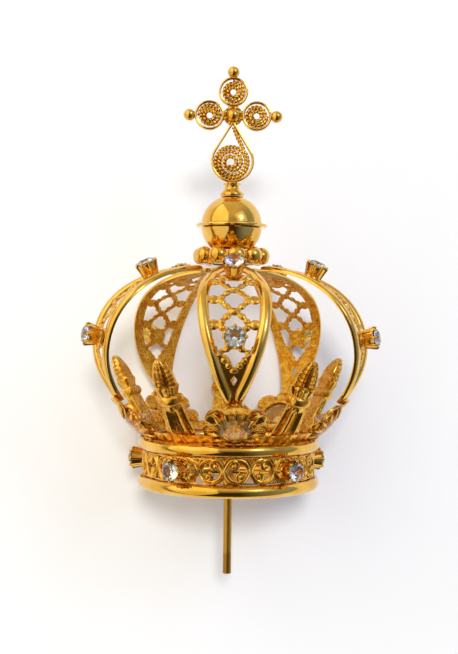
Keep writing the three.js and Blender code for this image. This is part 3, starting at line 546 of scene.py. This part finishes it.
front_angle = math.radians(-90)
between_angle = math.radians(-54)
stones_round("band", cup_height, [(band_cup_foot, (1, 0), between_angle, 5)])


# Cresting. One casting soldered on the upper ring: five flowers with dished petals lean out
# under the arches, and five fluted stems between them end in scaled buds.
crest_foot = np.array([22.9, 14.3])
crest_reach, crest_height = 10.3, 11.3
crest_points = [crest_foot, crest_foot + (0.3 * crest_reach, 0.3 * crest_height),
                crest_foot + (0.68 * crest_reach, 0.62 * crest_height),
                crest_foot + (crest_reach, crest_height)]
flower_share = 0.38
big_stone_diameter = 9.8
# Each petal's angle, length, width and lift
petal_sizes = [(0, 9.9, 7.2, 0.21), (0.84, 9.2, 6.5, 0), (-0.84, 9.2, 6.5, 0), (1.78, 8.4, 5.4, -0.17),
               (-1.78, 8.4, 5.4, -0.17)]
bud_lean = 12.0
bud_height = 21.6
# Half width and depth of a bud at shares of its length: stem, collar, calyx and head
bud_sizes = [(0, 5.6, 1.6), (0.12, 4.5, 2.0), (0.3, 3.5, 2.5), (0.5, 3.0, 2.4), (0.515, 3.5, 3.0),
             (0.54, 3.75, 3.4), (0.575, 3.75, 3.4), (0.6, 3.5, 3.0), (0.615, 2.8, 2.4), (0.7, 3.5, 3.3),
             (0.73, 3.1, 2.9), (0.81, 3.0, 2.8), (0.88, 2.6, 2.4), (0.95, 1.8, 1.7), (0.985, 1.1, 1.0),
             (1, 0.3, 0.3)]
strip_flutes = 45


def bezier(points, t):
    a, b, c, d = [np.asarray(p, float) for p in points]
    point = a * (1 - t) ** 3 + 3 * b * t * (1 - t) ** 2 + 3 * c * t * t * (1 - t) + d * t ** 3
    slope = 3 * (b - a) * (1 - t) ** 2 + 6 * (c - b) * t * (1 - t) + 3 * (d - c) * t * t
    return point, slope / np.linalg.norm(slope)


flower_centre, flower_up = bezier(crest_points, flower_share)
flower_out = np.array([flower_up[1], -flower_up[0]])


def on_flower(across, along, out):
    """Point on a flower, whose petals bend back with the flare and with the ring."""
    beyond = max(along - big_stone_diameter / 2, 0)
    lift = out + 0.008 * beyond ** 2 - across ** 2 / (3.2 * flower_centre[0])
    point = flower_centre + flower_up * along + flower_out * lift
    return (point[0], across, point[1])


def petal(angle, length, width, lift):
    """Dished petal with a raised rim and a vein, as a closed skin."""
    root = big_stone_diameter / 2 - 0.2
    loops = []
    for t in np.linspace(0, 1, 20):
        if t < 0.6:
            share = 0.5 + 0.5 * math.sin(math.pi / 2 * t / 0.6)
        else:
            share = math.sqrt(max(1 - ((t - 0.6) / 0.4) ** 2, 0.004))
        share *= 1 + 0.03 * math.cos(t * 21)
        distance = root + (length - root) * t
        loop = []
        for w in np.linspace(-1, 1, 17):
            edge = max(abs(w), max(t - 0.62, 0) / 0.38)
            height = -0.3 + 0.95 * edge ** 3 + 0.22 * math.cos(w * 9.5) * (1 - t) * (1 - abs(w))
            height -= 0.4 * max(edge - 0.86, 0) / 0.14
            loop.append((w, height))
        for w in np.linspace(0.8, -0.8, 5):
            loop.append((w, -0.5))
        row = []
        for w, height in loop:
            side = w * share * width / 2
            row.append(on_flower(distance * math.sin(angle) + side * math.cos(angle),
                                 distance * math.cos(angle) - side * math.sin(angle), height + lift))
        loops.append(row)
    return skin(loops)


def flower():
    """Five petals and, between them and the stone, a cup whose claws spread like rays."""
    petals = [petal(*sizes) for sizes in petal_sizes]
    hole = big_stone_diameter / 2 + 0.12
    wall = lathe([(hole - 0.8, -1.15), (hole + 0.5, -1.15), (hole + 0.62, -0.3), (hole + 0.4, 0.25),
                  (hole, 0.2), (hole, -0.45), (hole - 0.8, -0.75)], 64)
    path = smooth_path([(hole + 2.2, 0, 0.1), (hole + 1.3, 0, 0.45), (hole + 0.4, 0, 0.75),
                        (hole - 0.4, 0, 1.2), (hole - 1.0, 0, 1.45)], 10)
    loops = []
    for i, point in enumerate(path):
        wide = np.interp(i, [0, 4, 9], [0.1, 0.62, 0.08])
        thick = np.interp(i, [0, 4, 9], [0.1, 0.36, 0.12])
        loops.append([point + np.array([thick * math.cos(a), wide * math.sin(a), thick * math.cos(a)])
                      for a in round_angles(8)])
    cup = seated(gather(wall, copied_round(skin(loops), 14)), flower_centre, flower_out)
    return gather(*petals, cup)


def bud():
    """Fluted stem, collar, zigzag calyx and a head of pointed scales, flat at the back."""
    foot = crest_foot + (-0.3, 0.05)
    spine = [foot, foot + (bud_lean * 0.52, bud_height * 0.42), foot + (bud_lean, bud_height)]
    stops, widths, depths = np.transpose(bud_sizes)
    loops = []
    for t in np.concatenate([np.linspace(0, 0.5, 24), np.linspace(0.505, 0.62, 18),
                             np.linspace(0.625, 1, 90)]):
        point = spine[0] * (1 - t) ** 2 + 2 * spine[1] * t * (1 - t) + spine[2] * t * t
        slope = 2 * (spine[1] - spine[0]) * (1 - t) + 2 * (spine[2] - spine[1]) * t
        slope /= np.linalg.norm(slope)
        normal = np.array([slope[1], -slope[0]])
        width, depth = np.interp(t, stops, widths), np.interp(t, stops, depths)
        loop = []
        for k in range(48):
            angle = 2 * math.pi * k / 48
            across, out = math.cos(angle), math.sin(angle)
            scale = 1.0
            if out > 0:
                if t < 0.505:
                    scale = 1 - 0.16 * (1 - math.cos(angle * 10)) * min(1, (0.51 - t) * 10)
                elif 0.615 < t < 0.74:
                    sepal = abs((angle / math.pi * 4) % 1 - 0.5) * 2
                    scale = 1 - 0.16 * sepal ** 3 - 0.12 * (t > 0.71 + 0.03 * (1 - sepal))
                elif t > 0.74:
                    row = (t - 0.74) / 0.26 * 6
                    column = abs((angle / math.pi * 5) % 1 - 0.5) * 2
                    scale = 1 - 0.14 * (row % 1 < 0.25) - 0.12 * (column > 0.78)
            out = max(out, -0.35)
            lift = (out * scale - 0.35) * depth
            at = point + normal * lift
            loop.append((at[0], across * scale * width, at[1]))
        loops.append(loop)
    return skin(loops)


def crest_strip():
    """Fluted foot of the casting, round the top of the upper ring."""
    outer, inner = [], []
    for t in np.linspace(0, 0.2, 6):
        point, slope = bezier(crest_points, t)
        outer.append(point + (0.55, 0))
        inner.append(point - (0.55, 0))

    def flutes(angle, profile):
        outside = np.arange(len(profile)) < len(outer)
        return 0.22 * math.cos(strip_flutes * angle) * outside

    return lathe(outer + inner[::-1], 360, flutes)


def painted_amber_glass():
    """Cut glass for the big stones, tinted amber: the amber is painted light standing in for the gold seen
    through the clear stone, and the lighter patches of its noise cloud are painted glints of facets catching
    the light.
    """
    material, tree, shader = new_material("cut glass with painted amber light")
    place = add_node(tree, "ShaderNodeTexCoord")
    cloud = add_node(tree, "ShaderNodeTexNoise", {"Vector": place.outputs["Object"], "Scale": 300,
                                                  "Detail": 2})
    tint = add_node(tree, "ShaderNodeMix", {
        "Factor": cloud.outputs["Fac"], "A": linear("#E39A2C"), "B": linear("#F6D078")}, data_type="RGBA")
    feed(tree, shader, {"Base Color": tint.outputs["Result"], "Roughness": 0.04,
                        "Transmission Weight": 0.85, "IOR": 1.6})
    return material


cresting = gather(copied_round(flower(), 5, front_angle), copied_round(bud(), 5, between_angle),
                  crest_strip())
make_piece("cresting_casting", cresting, burnished, ["cresting"], smooth=40, inner=cast)

# The big stones get glass with painted amber light for the gold behind them, and painted glints.
painted_amber = painted_amber_glass()
rose_cut = ((0.24, 0.2, 0), (0.54, 0.175, 0.5), (0.82, 0.11, 0))
big_stone = seated(brilliant(big_stone_diameter, 9, rose_cut), flower_centre, flower_out)
make_piece("flower_stones", copied_round(big_stone, 5, front_angle, painted_amber), painted_amber,
           [f"flower_crystal_{i}" for i in range(1, 6)], smooth=0)


# Leaf arches. Five castings that curve from the flowers to the beaded ring. Each has two
# polished ridged rails, and between them a rough lattice of beaded strips.
arch_foot = crest_foot + (crest_reach - 1.9, crest_height - 1.3)
belly_reach = 5.8
belly_rise = 13.8
arch_belly = arch_foot + (belly_reach, belly_rise)
arch_hub = np.array([9.1, arch_foot[1] + 36.6])
arch_top = arch_hub - arch_belly
arch_curves = [
    [arch_foot, arch_foot + (belly_reach * 0.62, belly_rise * 0.3), arch_belly - (0, belly_rise * 0.33),
     arch_belly],
    [arch_belly, arch_belly + (0, arch_top[1] * 0.57),
     (arch_hub[0] - arch_top[0] * 0.6, arch_hub[1] - arch_top[1] * 0.02), arch_hub]]
arch_half_width = 9.5
arch_tip_half_width = 1.8
arch_hub_half_width = 2.3
arch_widest_share = 0.54
rail_width = 3.0
rail_foot_gain = 0.8
rail_foot_share = 0.4
rail_depth = 1.5
lattice_depth = 0.8
bulge_stone_at = 18.8
top_stone_at = 41.2
lattice_pitch = 7.6


def arch_table():
    points, slopes = [], []
    for curve in arch_curves:
        for t in np.linspace(0, 1, 200):
            point, slope = bezier(curve, t)
            points.append(point)
            slopes.append(slope)
    points, slopes = np.array(points), np.array(slopes)
    lengths = np.concatenate([[0], np.cumsum(np.linalg.norm(np.diff(points, axis=0), axis=1))])
    return points, slopes, lengths


arch_points, arch_slopes, arch_lengths = arch_table()
arch_length = arch_lengths[-1]


def arch_width_at(along):
    share = min(max(along / arch_length, 0), 1)
    if share < arch_widest_share:
        rise = math.sin(math.pi / 2 * share / arch_widest_share)
        return arch_tip_half_width + (arch_half_width - arch_tip_half_width) * rise
    fall = math.cos(math.pi / 2 * (share - arch_widest_share) / (1 - arch_widest_share))
    return arch_hub_half_width + (arch_half_width - arch_hub_half_width) * abs(fall) ** 1.35


def rail_width_at(along):
    return rail_width + rail_foot_gain * max(1 - along / (rail_foot_share * arch_length), 0)


def arch_point(along):
    point = np.array([np.interp(along, arch_lengths, arch_points[:, i]) for i in (0, 1)])
    slope = np.array([np.interp(along, arch_lengths, arch_slopes[:, i]) for i in (0, 1)])
    return point, slope / np.linalg.norm(slope)


def on_arch(across, along, out):
    point, slope = arch_point(min(max(along, 0), arch_length))
    point = point + np.array([slope[1], -slope[0]]) * (out - rail_depth / 2)
    return (point[0], across, point[1])


def rails():
    """Both rails, whose rounded ridge lies nearer the outer edge."""
    ridge = [(-1, 0), (-1, 0.35), (-0.9, 0.62), (-0.45, 1.0), (0.1, 1.1), (0.5, 0.95), (0.86, 0.62),
             (1, 0.3), (1, 0)]
    parts = []
    for side in (-1, 1):
        loops = []
        for along in np.linspace(0, arch_length, 72):
            outer = arch_width_at(along)
            inner = max(outer - rail_width_at(along), 0)
            centre, half = (outer + inner) / 2, (outer - inner) / 2
            slant = (arch_width_at(along + 0.3) - arch_width_at(along - 0.3)) / 0.6
            stretch = math.sqrt(1 + slant ** 2) if half > 1.2 else 1
            height = rail_depth * np.interp(along, [0, 2.5, arch_length - 1, arch_length],
                                            [0.75, 1, 1, 0.85])
            loops.append([on_arch(side * (centre - a * half / stretch), along, b / 1.1 * height)
                          for a, b in ridge])
        parts.append(skin(loops))
    return gather(*parts)


def beaded_strip(*stops, beads=2, wide=0.78):
    """Cast strip through points of the lattice, swelling into beads."""
    steps = beads * 6 + 1
    path = smooth_path(stops, steps) if len(stops) > 2 else np.linspace(*stops, steps)
    swell = 1 + 0.22 * np.cos(np.linspace(0, 2 * math.pi * beads, steps))
    section = [(wide * math.cos(a), 0.42 + 0.42 * math.sin(a) * (1 if math.sin(a) > 0 else 0.85))
               for a in round_angles(10)]
    return flat_stroke(path, section, on_arch, swell=swell)


def lobe(across, along, wide, tall, high=0.9):
    """Flat rounded boss on the lattice."""
    loops = []
    for level, size in ((0.02, 0.75), (0.1, 0.95), (0.45, 1.0), (0.75, 0.8), (0.9, 0.45), (0.93, 0.1)):
        loops.append([on_arch(across + wide * size * math.cos(a), along + tall * size * math.sin(a),
                              level * high)
                      for a in round_angles(14)])
    return skin(loops)


def foot_web():
    """Plain plate between the rails at the foot, with a small kite left open."""
    parts = []
    for side in (-1, 1):
        loops = []
        for along, inside in ((2, 0.01), (6.6, 0.01), (8.4, 0.9), (9.5, 0.01), (10.7, 0.01), (14.6, 3.6)):
            outside = max(arch_width_at(along) - rail_width_at(along), 0.1) + 0.4
            loops.append([on_arch(side * x, along, height)
                          for x, height in ((inside, 0.15), (outside, 0.15), (outside, 0.7),
                                            (inside, 0.7))])
        parts.append(skin(loops))
    return gather(*parts)


def lattice():
    parts = [foot_web()]
    first = bulge_stone_at
    for along in (first + (k + 0.5) * lattice_pitch for k in range(3)):
        reach = arch_width_at(along) - rail_width_at(along)
        for side in (-1, 1):
            bend = side * min(3.1, reach - 0.9)
            rise = lattice_pitch / 2
            parts.append(beaded_strip((side * 0.3, along - rise), (bend * 0.62, along - rise * 0.6),
                                      (bend, along - rise * 0.22), (bend, along + rise * 0.22),
                                      (bend * 0.62, along + rise * 0.6), (side * 0.3, along + rise),
                                      beads=5))
            parts.append(lobe(side * min(5.2, reach - 0.6), along, 1.5, 1.45))
            parts.append(beaded_strip((bend, along), (side * (reach + 0.5), along), beads=1, wide=0.9))
    for along in (first + lattice_pitch, first + 2 * lattice_pitch):
        parts.append(lobe(0, along, 1.5, 1.15))
        parts.append(lobe(0, along, 0.75, 0.75, 1.2))
    parts.append(lobe(0, first, 2.9, 2.5))
    parts.append(lobe(0, top_stone_at, 2.9, 2.6))
    low = first - 8.05
    # Start and end on the right-hand side, count of beads and half width of each remaining strip
    strips = [((0.3, low), (3.7, first - 4), 3, 0.8), ((3.6, first - 3.4), (0, first - 1.6), 2, 0.7),
              ((3.9, first - 4), (5.2, first - 2.2), 1, 0.8),
              ((0.4, top_stone_at - 1), (4.5, top_stone_at + 0.5), 2, 0.8),
              ((0.4, top_stone_at + 2.4), (2.6, arch_length - 6.5), 2, 0.8)]
    for (start_x, start_at), (end_x, end_at), beads, wide in strips:
        for side in (-1, 1):
            parts.append(beaded_strip((side * start_x, start_at), (side * end_x, end_at), beads=beads,
                                      wide=wide))
    parts.append(lobe(0, low, 1.5, 0.7))
    parts.append(beaded_strip((0, top_stone_at), (0, arch_length - 3), beads=4, wide=1.4))
    return gather(*parts)


arch_nodes = [f"arch_{i}" for i in range(1, 6)]
leaf_angle = front_angle - 0.03
make_piece("arch_rails", copied_round(rails(), 5, leaf_angle, polished), polished, arch_nodes,
           smooth=50, inner=cast)
make_piece("arch_lattices", copied_round(lattice(), 5, leaf_angle), burnished, arch_nodes,
           inner=cast)


def arch_seat(along):
    foot = np.array(on_arch(0, along, lattice_depth + 0.2))
    ahead = np.array(on_arch(0, along, lattice_depth + 1.2))
    return (foot[0], foot[2]), (ahead[0] - foot[0], ahead[2] - foot[2])


def leaning_seat(along, lean):
    (x, z), out = arch_seat(along)
    turned = (out[0] * math.cos(lean) + out[1] * math.sin(lean),
              out[1] * math.cos(lean) - out[0] * math.sin(lean))
    rise = math.sin(lean) * 2.35
    return (x + out[0] * rise, z + out[1] * rise), turned


fifth = math.radians(72)
stones_round("bulge", bulge_cup_height, [(*arch_seat(bulge_stone_at), leaf_angle, 5)])
stones_round("top", cup_height, [(*leaning_seat(top_stone_at, 0.36), leaf_angle, 1),
                                 (*arch_seat(top_stone_at), leaf_angle + fifth, 4)])


# Beaded ring. A cast ring of ten round beads that hides the ends of the arches and carries
# the orb; the beads run together towards the middle.
bead_ring_bottom = arch_hub[1] + rail_depth / 2 + 0.25
bead_ring_height = 4.6
bead_level = bead_ring_bottom + bead_ring_height / 2
bead = sphere((8.55, 0, bead_level + 0.25), 1, (2.25, 2.65, 2.42), 28, 18)
bead_core = lathe([(5.05, bead_ring_bottom + 0.1), (8.4, bead_ring_bottom + 0.3), (8.9, bead_level),
                   (8.4, bead_level + 1.3), (5.05, bead_level + 1.6)], 64)
make_piece("beaded_ring", gather(copied_round(bead, 10, front_angle + 0.12, polished), bead_core), polished,
           ["bead_ring"])


# Orb. Two spun brass half shells, 0.8 mm thick: a bowl on the beaded ring, and a dome whose
# rolled flange covers the seam.
orb_radius = 8.52
orb_wall = 0.8
orb_level = bead_ring_bottom + bead_ring_height + 0.25 + 6.2


def arc(radius, low, high, steps):
    angles = np.linspace(math.asin(low / radius), math.asin(high / radius), steps)
    return [(max(radius * math.cos(a), 0.02), orb_level + radius * math.sin(a)) for a in angles]


bowl_profile = arc(orb_radius, -6.2, -0.85, 20) + arc(orb_radius - orb_wall, -6.2, -0.85, 12)[::-1]
make_piece("orb_bowl_shell", lathe(bowl_profile, 96), polished, ["orb_bowl"])
flange = [(orb_radius + reach, orb_level + rise) for reach, rise in (
    (0.35, 0.62), (0.9, 0.5), (1.3, 0.25), (1.4, -0.05), (1.25, -0.4), (0.6, -0.52))]
dome_profile = (arc(orb_radius, 0.7, orb_radius - 1e-4, 26)[::-1] + flange
                + arc(orb_radius - orb_wall, -0.5, orb_radius - orb_wall - 1e-4, 16))
make_piece("orb_dome_shell", lathe(dome_profile, 96), polished, ["orb_dome"])


# Finial collar. A small turned brass bell, polished and gilded. It is soldered on the dome, and
# its neck holds the foot of the cross.
collar_level = orb_level + 8.8
collar_profile = [(radius, collar_level + rise) for radius, rise in (
    (0.02, 0.05), (1.6, -0.12), (3.2, -0.6), (3.3, -0.35), (3.28, 0.1), (3.0, 0.5), (2.5, 0.95), (2.1, 1.5),
    (2.0, 2.0), (2.2, 2.5), (2.5, 2.93), (0.02, 2.95))]
make_piece("finial_bell", lathe(collar_profile, 48), polished, ["finial_collar"])


# Cross. Flat strip bent into a drop and three round lobes, filled with spirals of twisted wire,
# with balls at the ends and in the middle, all soldered together in one plane.
drop_bottom = collar_level + 3.0 + 0.25
drop_radius = 6.05
drop_centre = drop_bottom + drop_radius
drop_apex = drop_bottom + 16.0
cross_level = drop_apex + 0.85 + 1.9
lobe_radius = 4.15
lobe_offset = 6.65
strip_thickness = 0.7
strip_half_depth = 0.93


def in_cross(u, v, w):
    return (u, -w, v)


def cross_strip(path):
    half = strip_thickness / 2
    edge = [(-half, -strip_half_depth + 0.3), (-half * 0.7, -strip_half_depth + 0.08),
            (0, -strip_half_depth), (half * 0.7, -strip_half_depth + 0.08), (half, -strip_half_depth + 0.3)]
    section = edge + [(-x, -y) for x, y in edge]
    return flat_stroke(path, section, in_cross, closed=True)


def twisted_wire(path, strand=0.35, pitch=2.1):
    """Two strands wound round each other along a flat path."""
    path = np.asarray(path, float)
    steps = np.concatenate([[0], np.cumsum(np.linalg.norm(np.diff(path, axis=0), axis=1))])
    count = int(steps[-1] / pitch * 12)
    at = np.linspace(0, steps[-1], count)
    line = np.stack([np.interp(at, steps, path[:, i]) for i in (0, 1)], 1)
    along = np.gradient(line, axis=0)
    along /= np.linalg.norm(along, axis=1)[:, None]
    across = np.stack([along[:, 1], -along[:, 0]], 1)
    parts = []
    for phase in (0, math.pi):
        turn = at / pitch * 2 * math.pi + phase
        strands = np.stack([line[:, 0] + across[:, 0] * strand * np.cos(turn) * 0.92,
                            -strand * np.sin(turn) * 0.92,
                            line[:, 1] + across[:, 1] * strand * np.cos(turn) * 0.92], 1)
        ahead = np.gradient(strands, axis=0)
        ahead /= np.linalg.norm(ahead, axis=1)[:, None]
        loops = []
        for point, direction in zip(strands, ahead):
            side = np.cross(direction, (0, 1, 0))
            side /= np.linalg.norm(side) + 1e-9
            up = np.cross(side, direction)
            loops.append([point + strand * (side * math.cos(a) + up * math.sin(a))
                          for a in round_angles(7)])
        parts.append(skin(loops))
    return gather(*parts)


def coil(x, z, radii, start, lead=()):
    """Coiled twisted wire; radii gives the coil's radius at each half turn."""
    path = list(lead)
    for turn in np.linspace(0, (len(radii) - 1) / 2, len(radii) * 20):
        angle = start - turn * 2 * math.pi
        radius = np.interp(turn * 2, range(len(radii)), radii)
        path.append((x + radius * math.cos(angle), z + radius * math.sin(angle)))
    return twisted_wire(path)


def cross_shape():
    tangent = math.acos(drop_radius / (drop_apex + 1.6 - drop_centre))
    middle_radius = drop_radius - strip_thickness / 2
    arc_angles = np.linspace(math.pi / 2 - tangent, -1.5 * math.pi + tangent, 60)
    bow = [(middle_radius * math.cos(a), drop_centre + middle_radius * math.sin(a)) for a in arc_angles]
    straight_end = bow[0]
    apex = (0.0, drop_apex + 0.9)
    side = [(apex[0] + (straight_end[0] - apex[0]) * t, apex[1] + (straight_end[1] - apex[1]) * t)
            for t in np.linspace(0.01, 0.95, 12)]
    parts = [cross_strip(side + bow + [(-x, z) for x, z in side[::-1]])]
    lead = smooth_path([(0.3, drop_apex - 0.6), (1.2, drop_apex - 3.0), (2.4, drop_apex - 5.4),
                        (3.1, drop_centre + 2.7)], 20)
    parts.append(coil(-0.3, drop_centre - 0.3, (4.6, 4.5, 4.2, 3.5, 2.85, 2.15, 1.45, 1.4), 0.75,
                      lead.tolist()))
    for i, (x, z) in enumerate(((-1, 0), (0, 1), (1, 0))):
        centre = (x * lobe_offset, cross_level + z * lobe_offset)
        loop = [(centre[0] + (lobe_radius - strip_thickness / 2) * math.cos(a),
                 centre[1] + (lobe_radius - strip_thickness / 2) * math.sin(a))
                for a in -round_angles(48)]
        parts.append(cross_strip(loop))
        parts.append(coil(*centre, (2.72, 2.72, 2.3, 1.5, 1.36, 1.36), math.pi * (1 - i / 2)))
        reach = lobe_offset + lobe_radius + 1.7 - 0.3
        parts.append(sphere((x * reach, 0, cross_level + z * reach), 1.68, columns=24, rows=16))
        neck = lobe_offset + lobe_radius + 0.05
        parts.append(sphere((x * neck, 0, cross_level + z * neck), 0.85, columns=14))
        side_x, side_z = (x * 2.3, cross_level + z * 2.3 - (0 if z else 0.2))
        parts.append(coil(side_x, side_z, (0.6, 0.55, 0.5), 0))
    parts.append(sphere((0, -0.5, cross_level), 1.9, columns=24, rows=16))
    for k in range(8):
        angle = math.pi / 8 + k * math.pi / 4
        parts.append(sphere((2.25 * math.cos(angle), -0.25, cross_level + 2.25 * math.sin(angle)), 0.72,
                            columns=10, rows=7))
    disc = [(2.75 * math.cos(a), cross_level + 2.75 * math.sin(a)) for a in -round_angles(32)]
    parts.append(skin([[in_cross(u, v, w) for u, v in disc] for w in (-0.5, 0.1)]))
    parts.append(sphere((0, 0, drop_bottom - 0.25), 1.0, (1.6, 0.95, 0.8), 16, 10))
    return gather(*parts)


make_piece("filigree_cross", cross_shape(), polished, ["cross"])


# Table and light. A plain pale table under the lying crown. A bright wall stands at its left and
# a cool window at its right, and the room is grey overhead and dark on the near side.
def pale_table():
    material, tree, shader = new_material("pale table")
    place = add_node(tree, "ShaderNodeTexCoord")
    grain = add_node(tree, "ShaderNodeTexNoise", {"Vector": place.outputs["Object"], "Scale": 40,
                                                  "Detail": 2})
    tone = add_node(tree, "ShaderNodeMapRange", {"Value": grain.outputs["Fac"], "To Min": 0.93,
                                                 "To Max": 0.95})
    feed(tree, shader, {"Base Color": tone.outputs["Result"], "Roughness": 0.9, "Specular IOR Level": 0.1})
    return material


table = mesh_of("table", ([(-3, -3, 0), (3, -3, 0), (3, 3, 0), (-3, 3, 0)], [(0, 1, 2, 3)]))
table.materials.append(pale_table())
into_scene("table", table)


def soft_lamp(name, place, aim, size, power, colour):
    light = bpy.data.lights.new(name, "AREA")
    light.shape = "RECTANGLE"
    light.size, light.size_y = size
    light.energy = power
    light.color = linear(colour)[:3]
    lamp = into_scene(name, light)
    lamp.location = place
    lamp.rotation_euler = (Vector(aim) - Vector(place)).to_track_quat("-Z", "Y").to_euler()


# The wall's front edge gives the orb its sharp boundary between bright and dark
soft_lamp("left wall", (-0.45, 0.1, 0.85), (0, 0.1, 0.85), (2.0, 1.5), 8.6, "#FFF7E2")
soft_lamp("window", (0.62, 0.42, 1.0), (0, 0, 0.03), (0.3, 0.3), 1.2, "#BCCFFF")
soft_lamp("window glow", (0.72, 0.46, 1.1), (0, 0, 0.03), (0.9, 0.9), 2.2, "#BCCFFF")


def table_light():
    """Light from the camera's side that brightens the table only, with its shadows behind the crown."""
    light = bpy.data.lights.new("table light", "SUN")
    light.energy = 1.3
    light.angle = math.radians(12)
    lamp = into_scene("table light", light)
    lamp.rotation_euler = (math.radians(-6), 0, 0)
    lamp.visible_glossy = False
    lamp.visible_transmission = False


table_light()


def studio_world():
    """Room round the table: dark on the near side, grey overhead, pale beyond and blue at the right."""
    world = bpy.data.worlds.new("studio")
    bpy.context.scene.world = world
    world.use_nodes = True
    tree = world.node_tree
    place = add_node(tree, "ShaderNodeTexCoord")
    parts = add_node(tree, "ShaderNodeSeparateXYZ", {"Vector": place.outputs["Object"]})
    far = add_node(tree, "ShaderNodeMapRange", {"Value": parts.outputs["Y"], "From Min": -0.8,
                                                "From Max": 0.8})
    tone = add_node(tree, "ShaderNodeValToRGB", {"Fac": far.outputs["Result"]})
    tone.color_ramp.elements[0].position = 0.3
    tone.color_ramp.elements[0].color = linear("#3A3426")
    tone.color_ramp.elements[1].position = 0.85
    tone.color_ramp.elements[1].color = linear("#DDD6C4")
    overhead = tone.color_ramp.elements.new(0.5)
    overhead.color = linear("#9C9C98")
    right = add_node(tree, "ShaderNodeMapRange", {"Value": parts.outputs["X"], "From Min": 0.2,
                                                  "From Max": 0.75, "To Max": 0.8})
    colour = add_node(tree, "ShaderNodeMix", {
        "Factor": right.outputs["Result"], "A": tone.outputs["Color"], "B": linear("#9BA9D0")},
        data_type="RGBA")
    tree.links.new(colour.outputs["Result"], tree.nodes["Background"].inputs["Color"])


studio_world()

bpy.context.scene.view_settings.view_transform = "Standard"
bpy.context.scene.view_settings.exposure = 0.0


# Camera. Level with the arches and a little to the left of the front one, as in the photograph.
# Its lens is given in picture heights, so that it holds for any picture size of this shape.
camera_lens_heights = 1140 / 654
camera_distance = 319.2
camera_level = 44.62
camera_shift = 0.34
camera_azimuth = math.radians(3.4)
camera_roll = math.radians(0.8)


def add_camera():
    data = bpy.data.cameras.new("camera")
    data.sensor_fit = "VERTICAL"
    data.sensor_height = 24
    data.lens = data.sensor_height * camera_lens_heights
    camera = into_scene("camera", data)
    forward = Vector((math.sin(camera_azimuth), math.cos(camera_azimuth), 0))
    upright = Vector((0, 0, 1))
    right = forward.cross(upright)
    camera_right = right * math.cos(camera_roll) + upright * math.sin(camera_roll)
    camera_up = upright * math.cos(camera_roll) - right * math.sin(camera_roll)
    place = Vector((0, 0, camera_level)) - forward * camera_distance - right * camera_shift
    turn = crown_place.to_3x3().normalized()
    basis = Matrix((turn @ camera_right, turn @ camera_up, -(turn @ forward))).transposed().to_4x4()
    camera.matrix_world = Matrix.Translation(crown_place @ place) @ basis
    data.clip_start = 0.01
    bpy.context.scene.camera = camera


add_camera()
